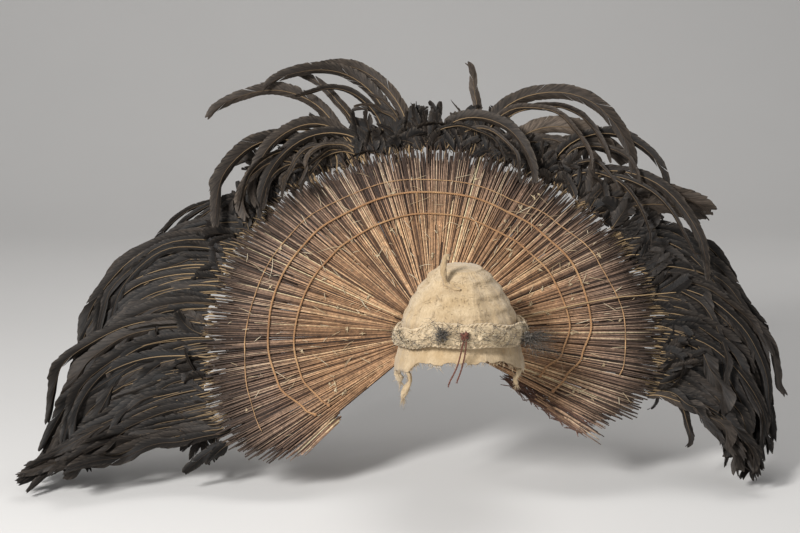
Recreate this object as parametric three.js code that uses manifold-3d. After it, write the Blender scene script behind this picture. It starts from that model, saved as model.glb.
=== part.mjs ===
// A feathered dance headdress: a barkcloth cap, a leaning crescent fan of thin sticks behind it,
// and long tail feathers bound round the rim of the fan.
// Millimetres, +Z up, the wearer faces -Y. The origin is the middle of the cap's opening at the brow.
import * as THREE from "three";
import { mergeVertices } from "three/addons/utils/BufferGeometryUtils.js";
import Module from "manifold-3d";

const wasm = await Module();
wasm.setup();

// ---------------------------------------------------------------- driving dimensions

const GAP = 0.35; // clearance between neighbouring pieces

// Cap: half sizes of the cloth dome at each height, and how far each section sits back.
const CAP_WALL = 2.6;
const CAP_HEM = 5.5; // wall at the turned hem
const CAP_COLUMNS = 36;
const CAP_SECTIONS = [
  { height: 0, halfWidth: 92, halfDepth: 104, back: 0 },
  { height: 22, halfWidth: 90, halfDepth: 102, back: 0 },
  { height: 44, halfWidth: 87, halfDepth: 98, back: 1 },
  { height: 66, halfWidth: 78, halfDepth: 89, back: 3 },
  { height: 87, halfWidth: 66, halfDepth: 76, back: 5 },
  { height: 107, halfWidth: 50, halfDepth: 58, back: 8 },
  { height: 121, halfWidth: 34, halfDepth: 38, back: 10 },
];
const CAP_TOP = { height: 127, back: 10 };
// How far the hem hangs below the brow, by direction (0 is the wearer's left, 90 the nape, 270 the brow).
const HEM_DROPS = [
  { at: 0, drop: 26 },
  { at: 25, drop: 24 },
  { at: 90, drop: 30 },
  { at: 155, drop: 26 },
  { at: 185, drop: 36 },
  { at: 212, drop: 26 },
  { at: 232, drop: 6 },
  { at: 270, drop: 1 },
  { at: 308, drop: 3 },
  { at: 330, drop: 20 },
  { at: 348, drop: 34 },
  { at: 360, drop: 26 },
];
// The hem stands out from the dome by flare, from a height down over a span; its first ring above the edge
// is at a share of the drop and a rise.
const HEM = { flare: 7, height: 12, span: 34, share: 0.4, rise: 3 };
const HEM_RAGS = { count: 17, swings: 5, depth: 2.2 };
const HEM_ROOM = [-60, -24]; // heights of the lowest rings of the space kept clear for the hem
// Folds and dents of the cloth: direction, width in degrees, depth (inwards positive), lowest and highest z.
const CAP_FOLDS = [
  { at: 236, width: 9, depth: 2.5, low: 40, high: 125 },
  { at: 252, width: 7, depth: -1.8, low: 30, high: 110 },
  { at: 268, width: 10, depth: 1.6, low: 60, high: 125 },
  { at: 289, width: 9, depth: -2.2, low: 45, high: 115 },
  { at: 305, width: 9, depth: 2.4, low: 60, high: 122 },
  { at: 205, width: 12, depth: -2.0, low: 30, high: 100 },
  { at: 330, width: 12, depth: -2.4, low: 30, high: 105 },
];

// Twisted roll round the brow: the height of its middle and its half size, by direction.
const ROLL = { steps: 36, sides: 6, twists: 7, uneven: 1.2, flatness: 0.55, stand: 2.4 };
const ROLL_BULGE = { depth: 0.16, swings: 5 };
const ROLL_PLACES = [
  { at: 0, height: 26, half: 13 },
  { at: 90, height: 14, half: 9 },
  { at: 180, height: 16, half: 10 },
  { at: 215, height: 27, half: 13 },
  { at: 248, height: 42, half: 16 },
  { at: 290, height: 41, half: 16 },
  { at: 328, height: 32, half: 15 },
  { at: 360, height: 26, half: 13 },
];

// Fan: its middle stands behind the cap and its plane leans back.
const FAN_MIDDLE = new THREE.Vector3(-38, 133, -14);
const FAN_LEAN = 32; // degrees back from upright
const FAN_FOOT = 40; // radius where the sticks start
const FAN_RIBS = 80;
const FAN_CREST = 2.6; // half thickness on a rib
const FAN_GROOVE = 1.0; // half thickness between ribs
const FAN_NOTCH = 17; // how far the gaps between tips run in
const FAN_RAGGED = 11; // unevenness of the tips
// Radii by angle (0 points to +X, 90 up the fan): the stick tips, the cords and the thin thread.
const FAN_RADII = [
  { at: -31, tip: 300, outer: 214, inner: 180, thread: 268 },
  { at: -20, tip: 344, outer: 226, inner: 190, thread: 300 },
  { at: -10, tip: 354, outer: 243, inner: 211, thread: 312 },
  { at: 3, tip: 353, outer: 257, inner: 222, thread: 312 },
  { at: 25, tip: 338, outer: 258, inner: 217, thread: 298 },
  { at: 45, tip: 322, outer: 251, inner: 211, thread: 282 },
  { at: 62, tip: 311, outer: 245, inner: 206, thread: 268 },
  { at: 88, tip: 309, outer: 245, inner: 207, thread: 268 },
  { at: 115, tip: 318, outer: 252, inner: 210, thread: 278 },
  { at: 140, tip: 339, outer: 262, inner: 214, thread: 291 },
  { at: 165, tip: 350, outer: 268, inner: 221, thread: 298 },
  { at: 185, tip: 357, outer: 270, inner: 228, thread: 308 },
  { at: 200, tip: 365, outer: 267, inner: 228, thread: 317 },
  { at: 213, tip: 360, outer: 246, inner: 216, thread: 323 },
  { at: 222, tip: 318, outer: 226, inner: 204, thread: 300 },
];
const FAN_FROM = FAN_RADII[0].at;
const FAN_TO = FAN_RADII[FAN_RADII.length - 1].at;
const FAN_ROWS = [0, 0.55, 1]; // shares of the way from foot to tip
const FAN_REACH = 350; // radius at which the two next lines are measured; the sticks stay straight
const FAN_WAVES = { height: 4, count: 5, phase: 20 }; // slow waves of the fan's face
const FAN_FORWARD = 40; // how far the lower ends come towards the face

const CORDS = [
  { name: "outer_cord", column: "outer", radius: 2.0, from: -28, to: 217, steps: 50, sides: 6 },
  { name: "inner_cord", column: "inner", radius: 1.8, from: -24, to: 217, steps: 44, sides: 6 },
  { name: "rim_thread", column: "thread", radius: 0.9, from: -14, to: 212, steps: 44, sides: 4 },
];
// Short cord that joins the two thick ones: its angle, radius and the gaps left at its inner and outer ends.
const LINK = { angle: 96.5, radius: 1.3, lift: 1.4, inner: 2.4, outer: 2.6, sides: 6 };

// Hidden binding between the cap and the foot of the fan: a squat round pad along the fan's facing.
const BINDING_PAD = {
  radius: 58,
  reach: 58,
  sides: 14,
  stand: 0.8, // off the sticks
  bevel: { inset: 4, rise: 8 },
  taper: 0.85,
  clear: 17, // room for the cap and the rolled band
};

// Second, ragged layers behind the ends of the fan: their angles, radii and lifts.
const UNDER_LAYERS = {
  left_under_layer: { from: 211, to: 226, foot: 232, tips: [346, 296], front: -3.4, back: -6.4, columns: 14 },
  right_flap: { from: -37, to: -27, foot: 150, tips: [286, 300], front: -3.4, back: -6.4, columns: 10 },
};

// Long quill that crosses the fan's face: its angle at each radius and its lift above the cords.
const QUILL = { radius: 1.1, lift: 9.5, sides: 5 };
const QUILL_COURSE = [
  { radius: 112, angle: 7.5 },
  { radius: 170, angle: 9.6 },
  { radius: 235, angle: 10.8 },
  { radius: 300, angle: 10.8 },
  { radius: 352, angle: 10 },
  { radius: 402, angle: 9.4 },
];

// Wisps of hair and fibre: where each ends, from the head of its tuft. A wisp bows at its knee.
const WISP = { bowForward: 2, bowUp: 4, tipShare: 0.4, sides: 4 };
const SIDE_TUFT = {
  head: { x: 99, y: -56, z: 24, radius: 9 },
  wisp: 2.6,
  ends: [
    { x: 44, y: 20, z: 4 },
    { x: 56, y: 26, z: -10 },
    { x: 60, y: 22, z: -32 },
    { x: 40, y: 14, z: -30 },
    { x: 22, y: 4, z: -36 },
  ],
};
const BROW_TUFT = {
  head: { x: -30, y: -119, z: 44, radius: 7 },
  wisp: 1.8,
  ends: [
    { x: -17, y: 2, z: 16 },
    { x: -7, y: -6, z: 13 },
    { x: 8, y: -5, z: 10 },
    { x: -12, y: -5, z: -8 },
  ],
};

// Knot at the middle of the brow and the two free cord ends below it, from the knot down.
const BROW_KNOT = { x: 4, y: -119, z: 44, radius: 7 };
const BROW_CORD = { radius: 1.2, sides: 8, steps: 10 };
const BROW_CORDS = {
  brow_cord_long: [
    { x: 2, y: -122, z: 36.2 },
    { x: 0.5, y: -122.4, z: 30 },
    { x: -1.5, y: -122, z: 20 },
    { x: -4, y: -120, z: 8 },
    { x: -7.5, y: -118, z: -4 },
    { x: -12, y: -117, z: -15 },
    { x: -17, y: -116.5, z: -25 },
    { x: -20, y: -116, z: -33 },
  ],
  brow_cord_short: [
    { x: 6, y: -122, z: 36.2 },
    { x: 5.6, y: -122.4, z: 28 },
    { x: 4.2, y: -122, z: 16 },
    { x: 2, y: -120, z: 4 },
    { x: -1, y: -118.5, z: -8 },
    { x: -4, y: -117.5, z: -18 },
    { x: -7, y: -117, z: -26 },
  ],
};

// Scraps of cloth that hang from the hem: the direction where they hang, and their course below its edge.
const HEM_SCRAPS = {
  left_hem_knot: {
    hangs: 187,
    stations: [
      { x: 0, y: 0, z: 0, radius: 3 },
      { x: 2, y: 0, z: -5, radius: 7 },
      { x: 5, y: 0, z: -12, radius: 7 },
      { x: 7, y: 0, z: -17, radius: 3 },
    ],
  },
  left_hem_strip: {
    hangs: 216,
    stations: [
      { x: 0, y: 0, z: 0, radius: 3 },
      { x: 3, y: 1, z: -13, radius: 4 },
      { x: -4, y: 2, z: -28, radius: 6 },
      { x: -9, y: 3, z: -42, radius: 3 },
    ],
  },
  right_hem_strip: {
    hangs: 336,
    stations: [
      { x: 0, y: 0, z: -2, radius: 4 },
      { x: -1, y: 0, z: -9, radius: 5 },
      { x: -6, y: 0, z: -17, radius: 4 },
      { x: -3, y: 1, z: -26, radius: 3 },
    ],
  },
};

// Rolled strip on the front of the crown: its standing end and the end that lies on the cloth.
const CROWN_TIE = {
  stalk: [
    { x: -22, y: -42, z: 102, radius: 4.2 },
    { x: -25, y: -46, z: 116, radius: 5.4 },
    { x: -27, y: -45, z: 132, radius: 5.0 },
    { x: -24, y: -44, z: 147, radius: 6.0 },
    { x: -18, y: -45, z: 149, radius: 4.5 },
  ],
  foot: [
    { x: -24, y: -46, z: 110, radius: 4.0 },
    { x: -14, y: -52, z: 104, radius: 3.8 },
    { x: -1, y: -57, z: 101, radius: 2.6 },
  ],
};

// Feathers. Each row is one lock: its angle on the rim, its headings at root and tip in the upright plane
// (0 is +X, 90 is up), how late it bends, its length, width and how far it leans forward.
const LEFT_WING = [
  { at: 139, from: 163, to: 258, bend: 1.2, length: 250, width: 28, lean: 20 },
  { at: 143, from: 168, to: 276, bend: 1.0, length: 350, width: 34, lean: 60 },
  { at: 149, from: 170, to: 286, bend: 1.1, length: 400, width: 34, lean: 30 },
  { at: 155, from: 172, to: 292, bend: 1.2, length: 405, width: 36, lean: 75 },
  { at: 161, from: 174, to: 290, bend: 1.3, length: 385, width: 36, lean: 30 },
  { at: 168, from: 178, to: 298, bend: 1.3, length: 385, width: 38, lean: 80 },
  { at: 175, from: 180, to: 284, bend: 1.5, length: 360, width: 38, lean: 35 },
  { at: 182, from: 186, to: 272, bend: 1.6, length: 335, width: 38, lean: 85 },
  { at: 189, from: 188, to: 240, bend: 1.4, length: 345, width: 36, lean: 45 },
  { at: 195, from: 192, to: 218, bend: 1.2, length: 360, width: 36, lean: 85 },
  { at: 201, from: 192, to: 203, bend: 1.1, length: 360, width: 34, lean: 50 },
  { at: 207, from: 188, to: 189, bend: 1.0, length: 300, width: 34, lean: 80 },
];
const LEFT_CROWN = [
  { at: 97, from: 84, to: 190, bend: 1.0, length: 265, width: 22, lean: 15 },
  { at: 103, from: 74, to: 216, bend: 0.9, length: 320, width: 24, lean: 50 },
  { at: 106, from: 122, to: 274, bend: 0.9, length: 290, width: 20, lean: 110 },
  { at: 109, from: 102, to: 158, bend: 0.9, length: 220, width: 15, lean: 5 },
  { at: 112, from: 92, to: 284, bend: 0.85, length: 295, width: 22, lean: 110 },
  { at: 117, from: 80, to: 226, bend: 0.9, length: 330, width: 22, lean: 45 },
  { at: 121, from: 112, to: 284, bend: 1.0, length: 300, width: 28, lean: 125 },
  { at: 127, from: 104, to: 288, bend: 0.9, length: 185, width: 24, lean: 75 },
  { at: 131, from: 130, to: 190, bend: 1.1, length: 125, width: 30, lean: -15 },
  { at: 114, from: 118, to: 136, bend: 1.0, length: 100, width: 36, lean: -5 },
];
const RIGHT_CROWN = [
  { at: 91, from: 80, to: -90, bend: 0.9, length: 262, width: 20, lean: 100 },
  { at: 79, from: 72, to: 116, bend: 1.4, length: 170, width: 16, lean: 5 },
  { at: 76, from: 84, to: -88, bend: 1.0, length: 395, width: 26, lean: 85 },
  { at: 70, from: 62, to: -44, bend: 1.0, length: 225, width: 30, lean: 15 },
  { at: 61, from: 52, to: -30, bend: 1.0, length: 190, width: 34, lean: 0 },
  { at: 54, from: 84, to: -84, bend: 1.0, length: 300, width: 20, lean: 60 },
  { at: 49, from: 56, to: -92, bend: 0.8, length: 340, width: 20, lean: 150 },
  { at: 43, from: 24, to: -30, bend: 1.1, length: 230, width: 34, lean: 0 },
  { at: 38, from: 20, to: -24, bend: 1.1, length: 205, width: 34, lean: -25 },
];
const RIGHT_WING = [
  { at: 31, from: 22, to: -76, bend: 1.0, length: 265, width: 34, lean: 35 },
  { at: 25, from: 14, to: -84, bend: 0.9, length: 315, width: 36, lean: 50 },
  { at: 19, from: 12, to: -90, bend: 0.9, length: 345, width: 36, lean: 20 },
  { at: 13, from: 6, to: -94, bend: 0.9, length: 345, width: 36, lean: 75 },
  { at: 7, from: 2, to: -98, bend: 0.9, length: 320, width: 36, lean: 35 },
  { at: 1, from: -2, to: -98, bend: 0.9, length: 290, width: 36, lean: 80 },
  { at: -5, from: -6, to: -94, bend: 0.9, length: 262, width: 36, lean: 45 },
  { at: -11, from: -8, to: -80, bend: 1.0, length: 235, width: 34, lean: 75 },
  { at: -17, from: -4, to: -62, bend: 1.3, length: 205, width: 30, lean: 55 },
  { at: -14, from: -8, to: -104, bend: 0.9, length: 125, width: 13, lean: 20 },
];
// A lock's steps, thickness, how narrow it is where it is bound, and how it widens and comes to a point.
const LOCK = {
  steps: 6,
  thick: 6,
  bound: 0.32,
  foot: 0.55,
  widen: 1.6,
  end: 1.06,
  point: 3.2,
  tipThick: 0.5,
};
const LEAN_RISE = 0.8; // share of the fan's lean that a rising feather keeps
// Strip that binds the locks behind the rim, and how far past the tips a feather comes free.
const BINDING = { inset: 34, half: 15, front: -5.2, back: -10.5, step: 6, past: 1.2, free: 12, drop: 3 };

// ---------------------------------------------------------------- small helpers

const rad = THREE.MathUtils.degToRad;
const vec = (x, y, z) => new THREE.Vector3(x, y, z);

// A repeatable number from -1 to 1 for each whole number and salt.
function uneven(index, salt) {
  const s = Math.sin(index * 12.9898 + salt * 78.233) * 43758.5453;
  return 2 * (s - Math.floor(s)) - 1;
}

// A column of a table, smoothly between its rows, at a value of its first column.
function lookUp(rows, key, column, value) {
  const last = rows.length - 1;
  if (value <= rows[0][key]) return rows[0][column];
  if (value >= rows[last][key]) return rows[last][column];
  const i = rows.findIndex((row) => row[key] > value) - 1;
  const share = (value - rows[i][key]) / (rows[i + 1][key] - rows[i][key]);
  const smooth = share * share * (3 - 2 * share);
  return rows[i][column] + (rows[i + 1][column] - rows[i][column]) * smooth;
}

// A closed body from points and quads or triangles; faces that fold to nothing are dropped.
function geometryOf(points, faces) {
  const position = new Float32Array(points.flatMap((p) => [p.x, p.y, p.z]));
  const index = faces.flatMap((f) => (f.length === 4 ? [f[0], f[1], f[2], f[0], f[2], f[3]] : f));
  const geometry = new THREE.BufferGeometry();
  geometry.setAttribute("position", new THREE.BufferAttribute(position, 3));
  geometry.setIndex(index);
  const merged = mergeVertices(geometry, 1e-3);
  const kept = [];
  const all = merged.index.array;
  for (let i = 0; i < all.length; i += 3) {
    const [a, b, c] = [all[i], all[i + 1], all[i + 2]];
    if (a !== b && b !== c && a !== c) kept.push(a, b, c);
  }
  merged.setIndex(signedVolume(merged, kept) < 0 ? kept.reverse() : kept);
  return merged;
}

// Six times the volume inside a closed set of triangles, negative where they face inwards.
function signedVolume(geometry, index) {
  const corner = (i) => new THREE.Vector3().fromBufferAttribute(geometry.attributes.position, index[i]);
  let sum = 0;
  for (let i = 0; i < index.length; i += 3) sum += corner(i).dot(corner(i + 1).cross(corner(i + 2)));
  return sum;
}

// Rings of points joined in order; the ends are closed with a fan, or the last ring meets the first.
function loft(rings, closed = false) {
  const n = rings[0].length;
  const points = rings.flat();
  const faces = [];
  const count = closed ? rings.length : rings.length - 1;
  for (let j = 0; j < count; j++) {
    const a = j * n;
    const b = ((j + 1) % rings.length) * n;
    for (let i = 0; i < n; i++) {
      const k = (i + 1) % n;
      faces.push([a + i, a + k, b + k, b + i]);
    }
  }
  if (!closed) {
    const end = (rings.length - 1) * n;
    for (let i = 1; i < n - 1; i++) {
      faces.push([0, i + 1, i]);
      faces.push([end, end + i, end + i + 1]);
    }
  }
  return geometryOf(points, faces);
}

// A wall between two sheets of points, sheet[column][row]; round means the last column meets the first.
function wall(front, back, round = false) {
  const columns = front.length;
  const rows = front[0].length;
  const points = [...front.flat(), ...back.flat()];
  const offset = columns * rows;
  const f = (j, i) => (j % columns) * rows + i;
  const b = (j, i) => offset + f(j, i);
  const faces = [];
  for (let j = 0; j < (round ? columns : columns - 1); j++) {
    for (let i = 0; i < rows - 1; i++) {
      faces.push([f(j, i), f(j + 1, i), f(j + 1, i + 1), f(j, i + 1)]);
      faces.push([b(j, i), b(j, i + 1), b(j + 1, i + 1), b(j + 1, i)]);
    }
    faces.push([f(j, 0), b(j, 0), b(j + 1, 0), f(j + 1, 0)]);
    const top = rows - 1;
    faces.push([f(j, top), f(j + 1, top), b(j + 1, top), b(j, top)]);
  }
  if (!round) {
    const end = columns - 1;
    for (let i = 0; i < rows - 1; i++) {
      faces.push([f(0, i), f(0, i + 1), b(0, i + 1), b(0, i)]);
      faces.push([f(end, i), b(end, i), b(end, i + 1), f(end, i + 1)]);
    }
  }
  return geometryOf(points, faces);
}

function solidOf(geometry) {
  const bare = geometry.clone();
  bare.deleteAttribute("normal");
  bare.deleteAttribute("uv");
  const merged = mergeVertices(bare, 1e-3);
  const mesh = new wasm.Mesh({
    numProp: 3,
    vertProperties: merged.attributes.position.array,
    triVerts: new Uint32Array(merged.index.array),
  });
  return new wasm.Manifold(mesh);
}

function geometryFrom(solid) {
  const mesh = solid.getMesh();
  const geometry = new THREE.BufferGeometry();
  geometry.setAttribute("position", new THREE.BufferAttribute(mesh.vertProperties, 3));
  geometry.setIndex(new THREE.BufferAttribute(mesh.triVerts, 1));
  return geometry;
}

const joined = (geometries) => geometryFrom(geometries.map(solidOf).reduce((all, one) => all.add(one)));

// A tube of one radius along a smooth course.
function roundTube(points, { radius, sides, steps }) {
  const corners = Array.from({ length: sides }, (_, i) => {
    const turn = (2 * Math.PI * i) / sides;
    return new THREE.Vector2(radius * Math.cos(turn), radius * Math.sin(turn));
  });
  const extrudePath = new THREE.CatmullRomCurve3(points);
  return new THREE.ExtrudeGeometry(new THREE.Shape(corners), { steps, extrudePath });
}

// A round rod along hand-placed points, with its own radius at each point.
function rod(stations, sides = 6) {
  const rings = stations.map(({ point, radius }, j) => {
    const before = stations[Math.max(j - 1, 0)].point;
    const after = stations[Math.min(j + 1, stations.length - 1)].point;
    const along = after.clone().sub(before).normalize();
    const across = vec(0, -1, 0.2).cross(along).normalize();
    const up = along.clone().cross(across);
    return Array.from({ length: sides }, (_, i) => {
      const turn = (2 * Math.PI * i) / sides;
      return point
        .clone()
        .addScaledVector(across, radius * Math.cos(turn))
        .addScaledVector(up, radius * Math.sin(turn));
    });
  });
  return loft(rings);
}

const at = ({ x, y, z }) => vec(x, y, z);

const ball = ({ x, y, z, radius }) => new THREE.SphereGeometry(radius, 6, 4).translate(x, y, z);

const rodThrough = (rows) => rod(rows.map(({ radius, ...point }) => ({ point: at(point), radius })));

// ---------------------------------------------------------------- cap

function foldDepth(direction, height) {
  return CAP_FOLDS.reduce((sum, fold) => {
    if (height < fold.low || height > fold.high) return sum;
    const away = (direction - fold.at) / fold.width;
    const fade = Math.sin((Math.PI * (height - fold.low)) / (fold.high - fold.low));
    return sum + fold.depth * Math.exp(-away * away) * fade;
  }, 0);
}

function hemDrop(direction) {
  const { count, swings, depth } = HEM_RAGS;
  const ragged = depth * Math.sin(rad(direction * count)) * Math.cos(rad(direction * swings));
  return lookUp(HEM_DROPS, "at", "drop", direction) + ragged;
}

// A point of the dome at a height, moved outwards by a distance.
function capPoint(direction, height, out) {
  const row = (column) => lookUp(CAP_SECTIONS, "height", column, height);
  const flare = HEM.flare * THREE.MathUtils.clamp((HEM.height - height) / HEM.span, 0, 1);
  const grow = out + flare - foldDepth(direction, height);
  return vec(
    (row("halfWidth") + grow) * Math.cos(rad(direction)),
    row("back") + (row("halfDepth") + grow) * Math.sin(rad(direction)),
    height,
  );
}

function capSheet(out, hemOut, topHeight) {
  return Array.from({ length: CAP_COLUMNS }, (_, j) => {
    const direction = (360 * j) / CAP_COLUMNS;
    const drop = hemDrop(direction);
    const hem = [-drop, HEM.rise - drop * HEM.share].map((height) => capPoint(direction, height, hemOut));
    const dome = CAP_SECTIONS.slice(1).map((row) => capPoint(direction, row.height, out));
    return [...hem, ...dome, vec(0, CAP_TOP.back, topHeight)];
  });
}

function capGeometry() {
  const outside = capSheet(0, CAP_HEM - CAP_WALL, CAP_TOP.height);
  const inside = capSheet(-CAP_WALL, -CAP_WALL, CAP_TOP.height - CAP_WALL);
  return wall(outside, inside, true);
}

// The space that the cap fills, grown a little, for cutting its neighbours; the hem has extra room.
function capSpace(grow) {
  const heights = [...HEM_ROOM, ...CAP_SECTIONS.map((row) => row.height)];
  const rings = heights.map((height) =>
    Array.from({ length: CAP_COLUMNS }, (_, j) =>
      capPoint((360 * j) / CAP_COLUMNS, height, grow + (height < HEM.height ? CAP_HEM : 0)),
    ),
  );
  return loft(rings);
}

// ---------------------------------------------------------------- what is tied on the cap

// A body cut back from the rolled band that it sits on, a small gap away from it in the given direction.
function clearOf(solid, bandGeometry, away) {
  const band = solidOf(bandGeometry);
  return geometryFrom(solid.subtract(band.translate(away.map((share) => share * 2 * GAP))));
}

function browRoll() {
  const rings = Array.from({ length: ROLL.steps }, (_, j) => {
    const direction = (360 * j) / ROLL.steps;
    const half = lookUp(ROLL_PLACES, "at", "half", direction) + ROLL.uneven * uneven(j, 3);
    const height = lookUp(ROLL_PLACES, "at", "height", direction);
    const thick = half * ROLL.flatness;
    const out = thick + GAP + ROLL.stand;
    return Array.from({ length: ROLL.sides }, (_, i) => {
      const turn = (2 * Math.PI * i) / ROLL.sides + rad((direction * ROLL.twists) / ROLL.sides);
      const bulge = 1 + ROLL_BULGE.depth * Math.sin(2 * turn + rad(direction * ROLL_BULGE.swings));
      const lift = out + thick * bulge * Math.cos(turn);
      return capPoint(direction, height + half * bulge * Math.sin(turn), lift);
    });
  });
  const roll = solidOf(loft(rings, true));
  return geometryFrom(roll.subtract(solidOf(capSpace(GAP))));
}

function crownTie() {
  const stalk = solidOf(rodThrough(CROWN_TIE.stalk));
  const foot = solidOf(rodThrough(CROWN_TIE.foot));
  return geometryFrom(stalk.add(foot).subtract(solidOf(capSpace(GAP))));
}

// Wisps that spread from one head, cut back where they would enter the pieces they sit on.
function tuft({ head, wisp, ends }) {
  const root = at(head);
  const knob = ball(head);
  const wisps = ends.map((end) => {
    const tip = root.clone().add(at(end));
    const knee = root.clone().lerp(tip, 0.5).add(vec(0, -WISP.bowForward, WISP.bowUp));
    return rod(
      [
        { point: root, radius: wisp },
        { point: knee, radius: wisp },
        { point: tip, radius: wisp * WISP.tipShare },
      ],
      WISP.sides,
    );
  });
  return solidOf(joined([knob, ...wisps]));
}

const browKnot = () => solidOf(ball(BROW_KNOT));

const browCord = (rows) => roundTube(rows.map(at), BROW_CORD);

// A scrap of cloth that hangs from the hem at a direction; its stations are measured from the hem's edge.
function hemScrap({ hangs, stations }) {
  const root = capPoint(hangs, -hemDrop(hangs) - GAP, CAP_HEM / 2 - CAP_WALL);
  return rod(stations.map(({ radius, ...point }) => ({ point: root.clone().add(at(point)), radius })));
}

// ---------------------------------------------------------------- fan

const FAN_ACROSS = vec(1, 0, 0);
const FAN_UP = vec(0, Math.sin(rad(FAN_LEAN)), Math.cos(rad(FAN_LEAN)));
const FAN_FACE = vec(0, -Math.cos(rad(FAN_LEAN)), Math.sin(rad(FAN_LEAN)));

const fanRadius = (angle, column) => lookUp(FAN_RADII, "at", column, angle);

// A point of the fan at an angle, radius and lift from the middle of its thickness.
function fanPoint(angle, radius, lift) {
  const share = radius / FAN_REACH;
  const wave = FAN_WAVES.height * Math.sin(rad(angle * FAN_WAVES.count + FAN_WAVES.phase));
  const low = Math.max(-Math.sin(rad(angle)), 0);
  const bent = share * (wave + FAN_FORWARD * low);
  return FAN_MIDDLE.clone()
    .addScaledVector(FAN_ACROSS, radius * Math.cos(rad(angle)))
    .addScaledVector(FAN_UP, radius * Math.sin(rad(angle)))
    .addScaledVector(FAN_FACE, lift + bent);
}

function fanGeometry() {
  const columns = 2 * FAN_RIBS + 1;
  const sheet = (side) =>
    Array.from({ length: columns }, (_, j) => {
      const angle = FAN_FROM + ((FAN_TO - FAN_FROM) * j) / (columns - 1);
      const onRib = j % 2 === 1;
      const tip = fanRadius(angle, "tip") + (onRib ? FAN_RAGGED * uneven(j, 1) * 0.5 : -FAN_NOTCH);
      const half = onRib ? FAN_CREST : FAN_GROOVE;
      return FAN_ROWS.map((share) => fanPoint(angle, FAN_FOOT + (tip - FAN_FOOT) * share, side * half));
    });
  return wall(sheet(1), sheet(-1));
}

function cordGeometry({ column, radius, from, to, steps, sides }) {
  const lift = FAN_CREST + GAP + radius;
  const stations = Array.from({ length: steps + 1 }, (_, j) => {
    const angle = from + ((to - from) * j) / steps;
    return fanPoint(angle, fanRadius(angle, column), lift);
  });
  return roundTube(stations, { radius, steps, sides });
}

function cordLink() {
  const inner = fanRadius(LINK.angle, "inner") + LINK.inner;
  const outer = fanRadius(LINK.angle, "outer") - LINK.outer;
  const stations = [inner, (inner + outer) / 2, outer].map((radius) => ({
    point: fanPoint(LINK.angle, radius, FAN_CREST + GAP + LINK.lift),
    radius: LINK.radius,
  }));
  return rod(stations, LINK.sides);
}

// A ragged layer of sticks behind an end of the fan.
function underLayer({ from, to, foot, tips, front, back, columns }) {
  const sheet = (lift) =>
    Array.from({ length: columns + 1 }, (_, j) => {
      const share = j / columns;
      const angle = from + (to - from) * share;
      const tip = tips[0] + (tips[1] - tips[0]) * share + FAN_RAGGED * uneven(j, 7);
      return [foot, (foot + tip) / 2, tip].map((radius) => fanPoint(angle, radius, lift));
    });
  return wall(sheet(front), sheet(back));
}

function longQuill() {
  const stations = QUILL_COURSE.map(({ radius, angle }) => ({
    point: fanPoint(angle, radius, QUILL.lift),
    radius: QUILL.radius,
  }));
  return rod(stations, QUILL.sides);
}

function fanBinding() {
  const { radius, reach, sides, stand, bevel, taper, clear } = BINDING_PAD;
  const start = FAN_CREST + GAP + stand;
  const ring = (size, lift) =>
    Array.from({ length: sides }, (_, i) => fanPoint((360 * i) / sides, size, lift));
  const near = [ring(radius - bevel.inset, start), ring(radius, start + bevel.rise)];
  const pad = solidOf(loft([...near, ring(radius * taper, reach)]));
  return geometryFrom(pad.subtract(solidOf(capSpace(clear))));
}

// ---------------------------------------------------------------- feathers

// The course of a feather: it leaves the rim at one heading, bends to another and leans forward.
function featherRoute({ at, from, to, bend, length, lean }, steps) {
  const tip = fanRadius(at, "tip");
  const middle = (BINDING.front + BINDING.back) / 2;
  const root = fanPoint(at, tip - BINDING.inset, middle);
  const rimmed = fanPoint(at, tip + BINDING.free, middle - BINDING.drop);
  const route = [root, rimmed];
  const step = length / steps;
  const place = rimmed.clone();
  for (let i = 0; i < steps; i++) {
    const share = (i + 0.5) / steps;
    const heading = rad(from + (to - from) * share ** bend);
    const rise = Math.max(Math.sin(heading), 0) * Math.tan(rad(FAN_LEAN)) * LEAN_RISE;
    const forward = (lean / steps) * 2 * share;
    const along = vec(Math.cos(heading), rise, Math.sin(heading)).normalize().multiplyScalar(step);
    place.add(along).add(vec(0, -forward, 0));
    route.push(place.clone());
  }
  return route;
}

function lock(row) {
  const route = featherRoute(row, LOCK.steps);
  const last = route.length - 1;
  const rings = route.map((point, j) => {
    const along = route[Math.min(j + 1, last)].clone().sub(route[Math.max(j - 1, 0)]).normalize();
    const side = along.clone().cross(vec(0, -1, 0)).normalize();
    const face = side.clone().cross(along).normalize();
    const share = Math.max(j - 1, 0) / (last - 1);
    const vane = Math.min(1, LOCK.foot + share * LOCK.widen) * Math.min(1, (LOCK.end - share) * LOCK.point);
    const half = (row.width / 2) * (j < 2 ? LOCK.bound : vane);
    const thick = (LOCK.thick / 2) * (j === last ? LOCK.tipThick : 1);
    return [
      point.clone().addScaledVector(side, half),
      point.clone().addScaledVector(face, thick),
      point.clone().addScaledVector(side, -half),
      point.clone().addScaledVector(face, -thick),
    ];
  });
  return loft(rings);
}

function bindingStrip(rows) {
  const angles = rows.map((row) => row.at);
  const low = Math.min(...angles) - BINDING.past;
  const high = Math.max(...angles) + BINDING.past;
  const columns = Math.ceil((high - low) / BINDING.step);
  const sheet = (lift) =>
    Array.from({ length: columns + 1 }, (_, j) => {
      const angle = low + ((high - low) * j) / columns;
      const middle = fanRadius(angle, "tip") - BINDING.inset;
      return [fanPoint(angle, middle - BINDING.half, lift), fanPoint(angle, middle + BINDING.half, lift)];
    });
  return wall(sheet(BINDING.front), sheet(BINDING.back));
}

const plumes = (rows) => joined([bindingStrip(rows), ...rows.map(lock)]);

// ---------------------------------------------------------------- assembly

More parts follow.
